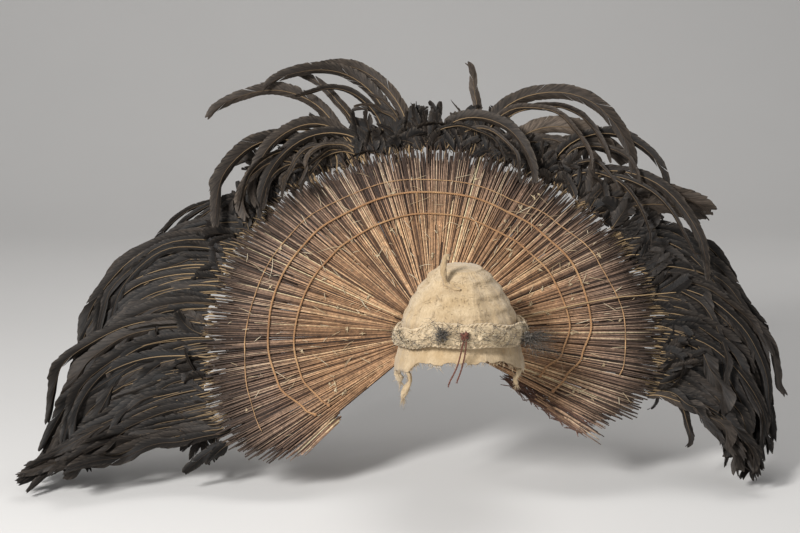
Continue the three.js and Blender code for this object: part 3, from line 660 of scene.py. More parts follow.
def rim_route(column, start, end, lift, step=1.9):
    """The course of a cord round the fan; it rides up and down a little over the sticks."""
    radius = fan_radius((start + end) / 2, column)
    count = int(math.radians(end - start) * radius / step)
    route = []
    for k in range(count + 1):
        angle = start + (end - start) * k / count
        bump = 0.35 * math.sin(angle * 8.3) + 0.5 * rough((angle, 0, 0), 5, 3.1)
        drift = 1.6 * rough((angle, 0, 0), 14, 9.4)
        route.append(fan_point(angle, fan_radius(angle, column) + drift, lift + bump))
    return route


def stray_ends(maker, route, count, length):
    """Loose fibres that stand off a cord."""
    for _ in range(count):
        root = route[rng.randrange(len(route))]
        way = forwards(0.6)
        reach = length * rng.uniform(0.4, 1)
        bend = scatter(1, 0.3, 1) * 0.35
        strand = [root + way * reach * t + bend * reach * t * t for t in (0, 0.35, 0.7, 1)]
        tube(maker, strand, [0.28, 0.24, 0.18, 0.1], 3, [rng.uniform(0.4, 1.0)])


def rim_cords():
    for name, column, radius, start, end, turns in RIM_CORDS:
        maker = Maker("tone")
        route = rim_route(column, start, end, FAN_CREST + GAP + radius * 0.9)
        laid_cord(maker, route, radius, turns)
        for at in (0, -1):
            knot = [route[at] + np.array([0, -0.5, 0]) + np.array(away) for away in CORD_KNOT]
            tube(maker, smooth_course(knot, len(CORD_KNOT_RADII)), CORD_KNOT_RADII, 8, [0.45])
        stray_ends(maker, route, 40, 7)
        fit(maker, name + "_laid", CORD, name)
    name, column, radius, start, end = THREAD
    maker = Maker("tone")
    route = rim_route(column, start, end, FAN_CREST + GAP + radius, 3.2)
    laid_cord(maker, route, radius, 260, sides=4, tone=0.7)
    stray_ends(maker, route, 30, 6)
    fit(maker, "rim_thread_laid", CORD, "rim_thread")
    maker = Maker("tone")
    inner = fan_radius(LINK_ANGLE, "inner") + 1
    outer = fan_radius(LINK_ANGLE, "outer") - 1
    lift = FAN_CREST + GAP + 1.5
    route = [fan_point(LINK_ANGLE + 0.25 * math.sin(t * 5), inner + (outer - inner) * t, lift)
             for t in np.linspace(0, 1, 26)]
    laid_cord(maker, route, 1.3, 200, tone=0.6)
    fit(maker, "cord_link_laid", CORD, "cord_link")


rim_cords()


# ------------------------------------------------------------------ under layers, binding and quill

# first and last angle, radius at the foot, and radius at the tips at each of the two angles
UNDER_LAYERS = {
    "left_under_layer": (211, 226, 232, 346, 296),
    "right_flap": (-37, -27, 150, 286, 300),
}
UNDER_STICK_COUNT = 110
FLAP_STRAND_COUNT = 620
FLAP_STALK_COUNT = 60
# radius and angle of each station
QUILL_COURSE = ((112, 7.5), (170, 9.6), (235, 10.8), (300, 10.8), (352, 10.0), (402, 9.4))
QUILL_LIFT = 9.5


def left_under_layer():
    """Sticks of a second layer behind the left end of the fan."""
    low, high, foot, tip_low, tip_high = UNDER_LAYERS["left_under_layer"]
    maker = Maker("out", "tone")
    for _ in range(UNDER_STICK_COUNT):
        share = rng.random()
        angle = low + (high - low) * share + rng.gauss(0, 0.4)
        tip = tip_low + (tip_high - tip_low) * share + rng.gauss(-4, 9)
        add_stick(maker, angle, foot - rng.uniform(0, 30), tip, -rng.uniform(3.2, 6.4),
                  STICK_RADIUS * rng.uniform(0.8, 1.3),
                  min(stick_tone() * rng.choice((0.6, 0.9, 1.3)), 1), sides=4)
    fit(maker, "left_under_sticks", STICKS, "left_under_layer")


def right_flap():
    """A dark matted pad of fibre behind the right end, edged with pale stalks."""
    low, high, foot, tip_low, tip_high = UNDER_LAYERS["right_flap"]
    maker = Maker("tone")
    for _ in range(FLAP_STRAND_COUNT):
        angle = rng.uniform(low, high + 2)
        radius = rng.uniform(foot, (tip_low + tip_high) / 2 - 6)
        lift = -rng.uniform(3.0, 6.6)
        length = rng.uniform(14, 46)
        cross = rng.gauss(0, 1.1)
        strand = []
        for t in np.linspace(0, 1, 6):
            strand.append(fan_point(angle + cross * (t - 0.5) * 3 * (140 / radius),
                                    radius + length * (t - 0.5), lift + 1.6 * math.sin(t * 3.1)))
        tube(maker, strand, np.array([0.6, 1, 1, 1, 0.9, 0.5]) * rng.uniform(0.5, 1.0), 4,
             [rng.uniform(0.1, 0.75)])
    fit(maker, "right_flap_mat", MATTED, "right_flap")
    maker = Maker("out", "tone")
    for _ in range(FLAP_STALK_COUNT):
        angle = rng.uniform(low, high + 3)
        add_stick(maker, angle, foot + rng.uniform(40, 110), (tip_low + tip_high) / 2 + rng.gauss(6, 12),
                  -rng.uniform(2.4, 4.4), STICK_RADIUS * rng.uniform(0.7, 1.1),
                  min(stick_tone() * 1.25, 1), sides=4)
    fit(maker, "right_flap_stalks", STICKS)


def fan_binding():
    """Wrapped cloth behind the cap that holds the sticks' feet."""
    low, high = (np.array(corner) * 1000 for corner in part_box("fan_binding"))
    maker = Maker("soil")
    columns, rows = 96, 26
    points = []
    for j in range(rows):
        share = j / (rows - 1)
        lift = 3.8 + 52 * share
        size = 56 - 10 * share
        size *= min(1, 0.55 + share * 3, 0.4 + (1 - share) * 4)
        for i in range(columns):
            turn = 360 * i / columns
            crease = (1.6 * rough((turn * 0.9, lift * 2.2, 0), 26, 4.4)
                      + 0.9 * math.sin(lift * 0.9 + turn * 0.05))
            point = fan_point(turn, size + crease, lift)
            point[1] = max(point[1], low[1] + 1.5)
            points.append(np.clip(point, low + 0.5, high - 0.5))
    ends = [np.mean(points[:columns], axis=0), np.mean(points[-columns:], axis=0)]
    maker.add(np.vstack([points, ends]), [grid(rows, columns), end_fans(rows, columns)], [0.55])
    fit(maker, "fan_binding_wrap", ROLLED, "fan_binding")


def long_quill():
    maker = Maker("along", "across", "tone", "barb")
    stations = [fan_point(angle, radius, QUILL_LIFT) for radius, angle in QUILL_COURSE]
    route = smooth_course(stations, 44)
    tube(maker, route, np.linspace(1.35, 0.55, 44), 6, [0.05, 0.0, 0.5, 0.0])
    fit(maker, "long_quill_shaft", BROWN_VANE, "long_quill")


left_under_layer()
right_flap()
fan_binding()
long_quill()


# ------------------------------------------------------------------ cap

CAP_WALL = 2.6
CAP_HEM = 5.5
CAP_TOP_HEIGHT = 127
CAP_SHOULDER = 121               # where the crown begins
CAP_TOP_BACK = 10
HEM_FLARE = 7
HEM_FIBRE_COUNT = 420
CAP_HAIR_COUNT = 260
# height, half width, half depth, how far back
CAP_SECTIONS = np.array([
    (0, 92, 104, 0),
    (22, 90, 102, 0),
    (44, 87, 98, 1),
    (66, 78, 89, 3),
    (87, 66, 76, 5),
    (107, 50, 58, 8),
    (121, 34, 38, 10),
], float)
# direction, how far the hem hangs
HEM_DROPS = np.array([(0, 26), (25, 24), (90, 30), (155, 26), (185, 36), (212, 26), (232, 6), (270, 1),
                      (308, 3), (330, 20), (348, 34), (360, 26)], float)
# direction, width in degrees, depth, lowest and highest z
CAP_FOLDS = ((236, 9, 2.5, 40, 125), (252, 7, -1.8, 30, 110), (268, 10, 1.6, 60, 125),
             (289, 9, -2.2, 45, 115), (305, 9, 2.4, 60, 122), (205, 12, -2.0, 30, 100),
             (330, 12, -2.4, 30, 105))
# direction, height of the band's middle, its half size
ROLL_PLACES = np.array([(0, 26, 13), (90, 14, 9), (180, 16, 10), (215, 27, 13), (248, 42, 16), (290, 41, 16),
                        (328, 32, 15), (360, 26, 13)], float)


def fold_depth(direction, height):
    depth = 0.0
    for at, width, deep, low, high in CAP_FOLDS:
        if low <= height <= high:
            away = (direction - at) / width
            depth += deep * math.exp(-away * away) * math.sin(math.pi * (height - low) / (high - low))
    return depth


def hem_drop(direction):
    ragged = 2.2 * math.sin(math.radians(direction * 17)) * math.cos(math.radians(direction * 5))
    fine = 2.4 * rough((direction, 0, 0), 3.5, 5.5) + 1.2 * rough((direction, 0, 0), 1.1, 8.5)
    return look_up(HEM_DROPS, 1, direction % 360) + ragged + fine


def cap_point(direction, height, out):
    flare = HEM_FLARE * min(max((12 - height) / 34, 0), 1)
    grow = out + flare - fold_depth(direction % 360, height)
    turn = math.radians(direction)
    half_width, half_depth, back = (look_up(CAP_SECTIONS, column, height) for column in (1, 2, 3))
    return np.array([(half_width + grow) * math.cos(turn),
                     back + (half_depth + grow) * math.sin(turn), height])


def cloth_relief(point, direction, height):
    """Wrinkles of beaten bark: long upright creases, crossing puckers and a felted grain."""
    x, y, z = point
    upright = rough((direction * 1.5, z * 0.14, 0), 7, 1.3)
    crossing = rough((direction * 0.35, z * 1.2, 0), 7, 6.1)
    fine = rough((x * 1.3, y * 1.3, z * 0.8), 3.4, 2.2)
    lump = rough((x, y, z), 19, 4.6)
    near_roll = math.exp(-((height - 52) / 14) ** 2)
    gathers = near_roll * math.sin(math.radians(direction * 21) + 2.5 * rough((direction, 0, 0), 15, 2.0))
    return 1.5 * -abs(upright) + 0.7 * crossing + 0.4 * fine + 1.2 * lump + 0.9 * gathers + 0.7


def cap_cloth():
    maker = Maker("soil")
    columns, rows, inner_rows = 300, 96, 28
    directions = 360 * np.arange(columns) / columns
    drops = [hem_drop(d) for d in directions]
    outside = []
    soil_and_shade_values = []
    for j in range(rows):
        share = j / (rows - 1)
        for direction, drop in zip(directions, drops):
            height = -drop + (CAP_SHOULDER + drop) * share
            out = (CAP_HEM - CAP_WALL) * max(0, 1 - share * 9)
            point = cap_point(direction, height, out)
            relief = cloth_relief(point, direction, height) * min(1, 0.35 + share * 6)
            turn = math.radians(direction)
            lean = max(0.0, (height - 60) / 61)
            way = np.array([math.cos(turn) * (1 - 0.5 * lean), math.sin(turn) * (1 - 0.5 * lean), 0.9 * lean])
            outside.append(point + way * relief)
            # Painted shade: the soil value is raised in the creases, where the relief sinks in, and beside
            # the brow band; it is also raised towards the hem.
            crease = max(0.0, -relief * 0.22)
            band = look_up(ROLL_PLACES, 1, direction)
            near = math.exp(-((height - band) / 20) ** 2)
            soil_and_shade_values.append(min(1, crease + 0.35 * near + 0.3 * max(0, 1 - share * 12)))
    crown = []
    crown_soils = []
    crown_rows = 12
    for j in range(1, crown_rows):
        share = j / crown_rows
        for direction in directions:
            turn = math.radians(direction)
            edge = cap_point(direction, CAP_SHOULDER, 0)
            middle = np.array([0, CAP_TOP_BACK, CAP_TOP_HEIGHT])
            point = edge + (middle - edge) * share
            point[2] = CAP_SHOULDER + (CAP_TOP_HEIGHT - CAP_SHOULDER) * math.sin(share * math.pi / 2)
            point[2] += 1.1 * rough(point, 9, 2.9) + 0.6 * rough(point, 3.5, 6.6)
            crown.append(point)
            crown_soils.append(0.12 + 0.2 * max(0, rough(point, 12, 5)))
    points = outside + crown + [np.array([0, CAP_TOP_BACK, CAP_TOP_HEIGHT - 0.4])]
    total = rows + crown_rows - 1
    faces = [grid(total, columns)]
    ring = np.arange(columns)
    after = (ring + 1) % columns
    faces.append(np.stack([(total - 1) * columns + ring, (total - 1) * columns + after,
                           np.full(columns, total * columns)], axis=1))
    values = soil_and_shade_values + crown_soils + [0.1]
    start = len(points)
    for j in range(inner_rows):
        share = j / (inner_rows - 1)
        for direction, drop in zip(directions, drops):
            height = -drop + 0.4 + (118 + drop) * share
            point = cap_point(direction, height, -CAP_WALL - 0.4)
            points.append(point + np.array([0, 0, 0.3 * rough(point, 9, 3)]))
            values.append(0.35)
    points.append(np.array([0, CAP_TOP_BACK, CAP_TOP_HEIGHT - CAP_WALL - 1.2]))
    values.append(0.35)
    faces.append(grid(inner_rows, columns)[:, ::-1] + start)
    last = start + (inner_rows - 1) * columns
    faces.append(np.stack([last + after, last + ring, np.full(columns, len(points) - 1)], axis=1))
    faces.append(np.stack([ring, start + ring, start + after, after], axis=1))
    maker.add(points, faces, np.array(values)[:, None])
    for _ in range(HEM_FIBRE_COUNT):
        direction = rng.uniform(0, 360)
        root = cap_point(direction, -hem_drop(direction) + 0.8, rng.uniform(-1, 2.2))
        out = outward(direction)
        reach = rng.uniform(2, 9) * (1.5 if rng.random() < 0.12 else 1)
        sideways = np.array([-out[1], out[0], 0]) * rng.gauss(0, 0.5)
        strand = [root + (out * 0.25 * t * rng.uniform(0, 1.6) + sideways * t + np.array([0, 0, -t])) * reach
                  for t in (0, 0.4, 0.75, 1)]
        tube(maker, strand, [0.55, 0.45, 0.3, 0.12], 3, [rng.uniform(0, 0.4)])
    for _ in range(CAP_HAIR_COUNT):
        direction = rng.uniform(195, 345)
        height = rng.uniform(55, 120)
        root = cap_point(direction, height, 0.6)
        out = outward(direction, 0.3)
        way = scatter(0.7, 0.2, 1)
        reach = rng.uniform(3, 9)
        strand = [root + way * reach * (t - 0.5) + out * (1.4 * math.sin(t * 3.14))
                  for t in (0, 0.35, 0.7, 1)]
        tube(maker, strand, [0.2, 0.3, 0.28, 0.12], 3, [rng.uniform(0, 0.5)])
    fit(maker, "cap_barkcloth", CLOTH, "cap")


cap_cloth()


# ------------------------------------------------------------------ rolled band round the brow

ROLL_FLATNESS = 0.55              # how far the band stands out, as a share of its half size
ROLL_DARK_FIBRES = 300
ROLL_PALE_FIBRES = 900
ROLL_EDGES = ((1.2, 0.15), (4.9, 0.25))      # turn and tone of the two cords rolled into its edges


def band_point(direction, turn, swell=1.0, extra=0.0):
    """A point on the band, at a direction round the cap and a turn round the band's own section."""
    half = look_up(ROLL_PLACES, 2, direction % 360)
    height = look_up(ROLL_PLACES, 1, direction % 360)
    out = half * ROLL_FLATNESS + GAP + 1.2
    return cap_point(direction, height + half * swell * math.sin(turn),
                     out + (half * ROLL_FLATNESS * swell + extra) * math.cos(turn))


def brow_roll():
    maker = Maker("soil")
    columns, sides = 460, 34
    points, values = [], []
    for j in range(columns):
        direction = 360 * j / columns
        for i in range(sides):
            turn = 2 * math.pi * i / sides
            spiral = math.sin(turn * 3 + math.radians(direction * 13))
            ridge = math.exp(-((turn - 1.25) / 0.3) ** 2) * 2.2
            base = band_point(direction, turn)
            crumple = (2.2 * rough(base, 8, 1.1) + 1.4 * rough(base, 3.2, 7.3) + 0.9 * rough(base, 1.6, 4.8)
                       + 1.0 * spiral)
            swell = 1 + 0.05 * spiral
            point = band_point(direction, turn, swell, crumple + ridge)
            point[2] += 1.2 * rough(base, 5, 9.9)
            points.append(point)
            middle = math.exp(-((turn - math.pi * 2 if turn > math.pi else turn) / 0.75) ** 2)
            # The band is darker in its middle, its own dark fibres; the - 0.12 * crumple term is painted
            # shade, darker where the cloth is pushed in.
            dark = 0.12 + 0.7 * middle * max(0.15 + 1.5 * rough(base, 9, 3.3), 0) - 0.12 * crumple
            values.append(min(max(dark, 0), 1))
    ring = np.arange(sides)
    after = (ring + 1) % sides
    last = (columns - 1) * sides
    closing = np.stack([last + ring, last + after, after, ring], axis=1)
    maker.add(points, [grid(columns, sides), closing], np.array(values)[:, None])
    for phase, tone in ROLL_EDGES:
        route = [band_point(d, phase + 0.14 * math.sin(math.radians(d * 9)), 1.0,
                            1.2 + rough((d, 0, 0), 6, 2)) for d in np.linspace(0, 359, 420)]
        lengths = np.arange(420)
        for ply in range(2):
            angle = lengths * 0.62 + ply * math.pi
            twisted = [p + np.array([0, 0, 1.3 * math.sin(a)]) + p * 0.010 * math.cos(a)
                       for p, a in zip(route, angle)]
            thick = 1.7 * (1 + 0.3 * np.array([rough((s, ply, 0), 9, 5.1) for s in lengths]))
            tube(maker, twisted, thick, 7, [tone])
    fit(maker, "brow_roll_cloth", ROLLED, "brow_roll")
    maker = Maker("tone")
    for k in range(ROLL_DARK_FIBRES):
        direction = rng.uniform(0, 360) if k % 3 == 0 else rng.uniform(195, 345)
        turn = rng.gauss(0.0, 0.75)
        root = band_point(direction, turn, 1.0, 0.8)
        way = scatter(1, 0.35, 0.8)
        reach = rng.uniform(3, 13)
        out = outward(direction, 0.2)
        curl = np.array([rng.gauss(0, 0.5), 0, rng.gauss(0, 0.5)])
        strand = [root + way * reach * (t - 0.4) + out * (2.4 * math.sin(t * 3.14)) + curl * reach * t * t
                  for t in (0, 0.3, 0.6, 0.85, 1)]
        tube(maker, strand, [0.15, 0.34, 0.34, 0.26, 0.1], 3, [rng.uniform(0.0, 1.0) ** 1.6])
    fit(maker, "brow_roll_fibres", FIBRE)
    maker = Maker("tone")
    for k in range(ROLL_PALE_FIBRES):
        direction = rng.uniform(0, 360) if k % 3 == 0 else rng.uniform(195, 345)
        turn = rng.gauss(-0.3, 1.1)
        root = band_point(direction, turn, 1.0, 0.6)
        way = scatter(1, 0.35, 0.6)
        reach = rng.uniform(3, 10)
        out = outward(direction, 0.1)
        strand = [root + way * reach * (t - 0.4) + out * (2.0 * math.sin(t * 3.14))
                  for t in (0, 0.35, 0.7, 1)]
        tube(maker, strand, [0.15, 0.36, 0.3, 0.1], 3, [rng.uniform(0.2, 1.0)])
    fit(maker, "brow_roll_pale_fibres", PALE_FIBRE)


brow_roll()


# ------------------------------------------------------------------ what is tied on the cap

# x, y, z and radius
CROWN_TIE_STALK = ((-22, -42, 102, 4.2), (-25, -46, 116, 5.4), (-27, -45, 132, 5.0), (-24, -44, 147, 6.0),
                   (-18, -45, 149, 4.5))
CROWN_TIE_FOOT = ((-24, -46, 110, 4.0), (-14, -52, 104, 3.8), (-1, -57, 101, 2.6))
# the head of a tuft, its radius, and where its wisps end from there
SIDE_TUFT = ((99, -56, 24), 9, ((44, 20, 4), (56, 26, -10), (60, 22, -32), (40, 14, -30), (22, 4, -36)))
BROW_TUFT = ((-30, -119, 44), 7, ((-17, 2, 16), (-7, -6, 13), (8, -5, 10), (-12, -5, -8)))
BROW_KNOT = ((4, -119, 44), 7)
# direction where it hangs, then x, y, z and radius from the hem
HEM_SCRAPS = {
    "left_hem_knot": (187, ((0, 0, 0, 3), (2, 0, -5, 7), (5, 0, -12, 7), (7, 0, -17, 3))),
    "left_hem_strip": (216, ((0, 0, 0, 3), (3, 1, -13, 4), (-4, 2, -28, 6), (-9, 3, -42, 3))),
    "right_hem_strip": (336, ((0, 0, -2, 4), (-1, 0, -9, 5), (-6, 0, -17, 4), (-3, 1, -26, 3))),
}


def rolled_strip(maker, stations, turns, salt, sides=20, count=46):
    """A strip of cloth twisted on itself: a grooved roll with torn edges."""
    stations = np.array(stations, float)
    route = smooth_course(stations[:, :3], count)
    radii = smooth_course(stations[:, 3:4].repeat(3, axis=1), count)[:, 0]
    angles = np.arange(sides) * 2 * math.pi / sides
    twist = np.linspace(0, turns * 2 * math.pi, count)[:, None]
    groove = (0.84 + 0.16 * np.cos(2 * angles[None, :] - twist)
              + 0.07 * np.cos(5 * angles[None, :] + 2 * twist))
    rough_skin = np.array([[0.16 * rough((p[0] + 4 * math.cos(a), p[1], p[2] + 4 * math.sin(a)), 2.6, salt)
                            for a in angles] for p in route])
    tube(maker, route, radii, sides, [0.25], hint=(0, -1, 0.1), wobble=groove + rough_skin)
    return route


def torn_fibres(maker, route, count, reach_low, reach_high, spread, drop=0.4):
    for _ in range(count):
        root = route[rng.randrange(len(route))]
        way = np.array([rng.gauss(0, spread), rng.gauss(0, spread * 0.6), rng.gauss(0, spread) - drop])
        reach = rng.uniform(reach_low, reach_high)
        strand = [root + way * reach * t + np.array([0, 0, -0.15 * reach * t * t]) for t in (0, 0.4, 0.75, 1)]
        tube(maker, strand, [0.5, 0.38, 0.26, 0.1], 3, [rng.uniform(0.0, 0.5)])


def crown_tie():
    maker = Maker("soil")
    route = rolled_strip(maker, CROWN_TIE_STALK, 2.2, 3.3)
    rolled_strip(maker, CROWN_TIE_FOOT, 1.6, 5.1)
    torn_fibres(maker, route[-8:], 40, 2, 6, 0.7, 0.1)
    torn_fibres(maker, route[:10], 40, 2, 7, 0.7)
    fit(maker, "crown_tie_strip", CLOTH, "crown_tie")


def hem_scraps():
    for name, (hangs, stations) in HEM_SCRAPS.items():
        drop = look_up(HEM_DROPS, 1, hangs) + 2.2 * math.sin(math.radians(hangs * 17)) * math.cos(
            math.radians(hangs * 5))
        root = cap_point(hangs, -drop - GAP, CAP_HEM / 2 - CAP_WALL)
        placed = [(*(root + np.array(row[:3])), row[3]) for row in stations]
        maker = Maker("soil")
        route = rolled_strip(maker, placed, 1.2, hangs * 0.1)
        torn_fibres(maker, route, 70, 2, 8, 0.6, 0.6)
        torn_fibres(maker, route[-6:], 40, 4, 10, 0.45, 1.0)
        material, slot = (ROLLED, "rolled_cloth") if name == "left_hem_knot" else (CLOTH, "barkcloth")
        fit(maker, name + "_torn", material, name)


HAIR_TAPER = np.array([1, 1, 1, 0.95, 0.9, 0.8, 0.7, 0.5, 0.3])


def hair_tuft(name, node, spec, strands, curl, thin, tones):
    """Strands of hair that spread from one head along the wisps of the tuft."""
    head, head_radius, ends = spec
    head = np.array(head, float)
    maker = Maker("tone")
    for k in range(strands):
        end = np.array(ends[k % len(ends)], float)
        start = head + scatter(1, 0.6, 1) * head_radius * 0.42
        tip = head + end * rng.uniform(0.55, 1.12) + scatter(6, 4, 6)
        bow = np.array([rng.gauss(0, 3), -2, 4 + rng.gauss(0, 3)])
        phase, waves = rng.uniform(0, 6.28), rng.uniform(2, 4)
        strand = []
        for t in np.linspace(0, 1, len(HAIR_TAPER)):
            sway = curl * t * math.sin(waves * t * 6.28 + phase)
            swirl = curl * t * math.cos(waves * t * 6.28 + phase)
            strand.append(start + (tip - start) * t + bow * math.sin(t * 3.14) + np.array([sway, 0, swirl]))
        tube(maker, strand, thin * HAIR_TAPER, 3, [rng.uniform(*tones)])
    for _ in range(strands // 2):
        way = scatter(1, 0.7, 1)
        way /= np.linalg.norm(way)
        cross = scatter(1, 1, 1)
        strand = [head + way * head_radius * 0.6 + (cross * (t - 0.5) + way * 1.6 * math.sin(t * 3.14)) * 4
                  for t in np.linspace(0, 1, 5)]
        tube(maker, strand, [0.3, 0.5, 0.55, 0.45, 0.2], 3, [rng.uniform(*tones)])
    fit(maker, name, FIBRE, node)


def brow_knot():
    (x, y, z), radius = BROW_KNOT
    maker = Maker("tone")
    for k in range(5):
        turn = rng.uniform(0, 3.14)
        lean = rng.uniform(-0.6, 0.6)
        loop = []
        for t in np.linspace(0, 2 * math.pi, 26):
            a = np.array([math.cos(t) * radius * 0.78, math.sin(t) * radius * 0.42, 0])
            spun = np.array([a[0] * math.cos(turn), a[1], a[0] * math.sin(turn) + a[1] * lean])
            loop.append(np.array([x, y, z]) + spun)
        tube(maker, loop, 1.9 * (1 + 0.12 * np.sin(np.arange(26) * 1.4)), 8, [rng.uniform(0.2, 0.8)])
    for _ in range(60):
        way = forwards(0.8)
        root = np.array([x, y, z]) + way * radius * 0.5
        reach = rng.uniform(3, 7)
        tube(maker, [root + way * reach * t for t in (0, 0.5, 1)], [0.4, 0.3, 0.1], 3, [rng.uniform(0.2, 1)])
    fit(maker, "brow_knot_wound", RED_CORD, "brow_knot")


crown_tie()
hem_scraps()
brow_knot()
hair_tuft("brow_tuft_hair", "brow_tuft", BROW_TUFT, 60, 1.6, 0.36, (0.2, 1.0))
hair_tuft("side_tuft_hair", "side_tuft", SIDE_TUFT, 90, 3.4, 0.32, (0.3, 1.0))


# ------------------------------------------------------------------ feathers

LOWEST = cad_box[0][2] / MM
LEAN_RISE = 0.8
BINDING_INSET = 34
BINDING_LIFT = -7.85
BINDING_HALF = 15
# where on the rim, first and last heading, how late it bends, length, width, and how far it leans forward
LEFT_WING = (
    (139, 163, 258, 1.2, 250, 28, 20),
    (143, 168, 276, 1.0, 350, 34, 60),
    (149, 170, 286, 1.1, 400, 34, 30),
    (155, 172, 292, 1.2, 405, 36, 75),
    (161, 174, 290, 1.3, 385, 36, 30),
    (168, 178, 298, 1.3, 385, 38, 80),
    (175, 180, 284, 1.5, 360, 38, 35),
    (182, 186, 272, 1.6, 335, 38, 85),
    (189, 188, 240, 1.4, 345, 36, 45),
    (195, 192, 218, 1.2, 360, 36, 85),
    (201, 192, 203, 1.1, 360, 34, 50),
    (207, 188, 189, 1.0, 300, 34, 80),
)
LEFT_CROWN = (
    (97, 84, 190, 1.0, 265, 22, 15),
    (103, 74, 216, 0.9, 320, 24, 50),
    (106, 122, 274, 0.9, 290, 20, 110),
    (109, 102, 158, 0.9, 220, 15, 5),
    (112, 92, 284, 0.85, 295, 22, 110),
    (117, 80, 226, 0.9, 330, 22, 45),
    (121, 112, 284, 1.0, 300, 28, 125),
    (127, 104, 288, 0.9, 185, 24, 75),
    (131, 130, 190, 1.1, 125, 30, -15),
    (114, 118, 136, 1.0, 100, 36, -5),
)
RIGHT_CROWN = (
    (91, 80, -90, 0.9, 262, 20, 100),
    (79, 72, 116, 1.4, 170, 16, 5),
    (76, 84, -88, 1.0, 395, 26, 85),
    (70, 62, -44, 1.0, 225, 30, 15),
    (61, 52, -30, 1.0, 190, 34, 0),
    (54, 84, -84, 1.0, 300, 20, 60),
    (49, 56, -92, 0.8, 340, 20, 150),
    (43, 24, -30, 1.1, 230, 34, 0),
    (38, 20, -24, 1.1, 205, 34, -25),
)
RIGHT_WING = (
    (31, 22, -76, 1.0, 265, 34, 35),
    (25, 14, -84, 0.9, 315, 36, 50),
    (19, 12, -90, 0.9, 345, 36, 20),
    (13, 6, -94, 0.9, 345, 36, 75),
    (7, 2, -98, 0.9, 320, 36, 35),
    (1, -2, -98, 0.9, 290, 36, 80),
    (-5, -6, -94, 0.9, 262, 36, 45),
    (-11, -8, -80, 1.0, 235, 34, 75),
    (-17, -4, -62, 1.3, 205, 30, 55),
    (-14, -8, -104, 0.9, 125, 13, 20),
)
ROUTE_STEPS = 12
FLOOR_CLEAR = 1.5


def feather_route(at, start, end, bend, length, lean, lift=0.0):
    """A feather's course: it leaves the rim at one heading, bends to another and leans forward."""
    tip = fan_radius(at, "tip")
    route = [fan_point(at, tip - BINDING_INSET, BINDING_LIFT + lift * 0.5),
             fan_point(at, tip + 12, BINDING_LIFT - 3 + lift)]
    place = route[-1].copy()
    step = length / ROUTE_STEPS
    for i in range(ROUTE_STEPS):
        share = (i + 0.5) / ROUTE_STEPS
        heading = math.radians(start + (end - start) * share ** bend)
        rise = max(math.sin(heading), 0) * math.tan(FAN_LEAN) * LEAN_RISE
        along = np.array([math.cos(heading), rise, math.sin(heading)])
        forward = np.array([0, -lean / ROUTE_STEPS * 2 * share, 0])
        place = place + along / np.linalg.norm(along) * step + forward
        place[2] = max(place[2], LOWEST + FLOOR_CLEAR)
        route.append(place)
    return np.array(route)


def vane_profile(s):
    """Half width of a tail feather along its shaft, as a share of the widest."""
    foot = np.clip(0.25 + s * 3.0, 0, 1)
    point = np.sqrt(np.clip(1 - (np.clip(s - 0.5, 0, 1) / 0.5) ** 2.0, 0, 1))
    return foot * (0.06 + 0.94 * point)


_feathers = [0]                   # how many there are so far
VANE_COLUMNS = np.array([0.0, 0.3, 0.65, 1.0])


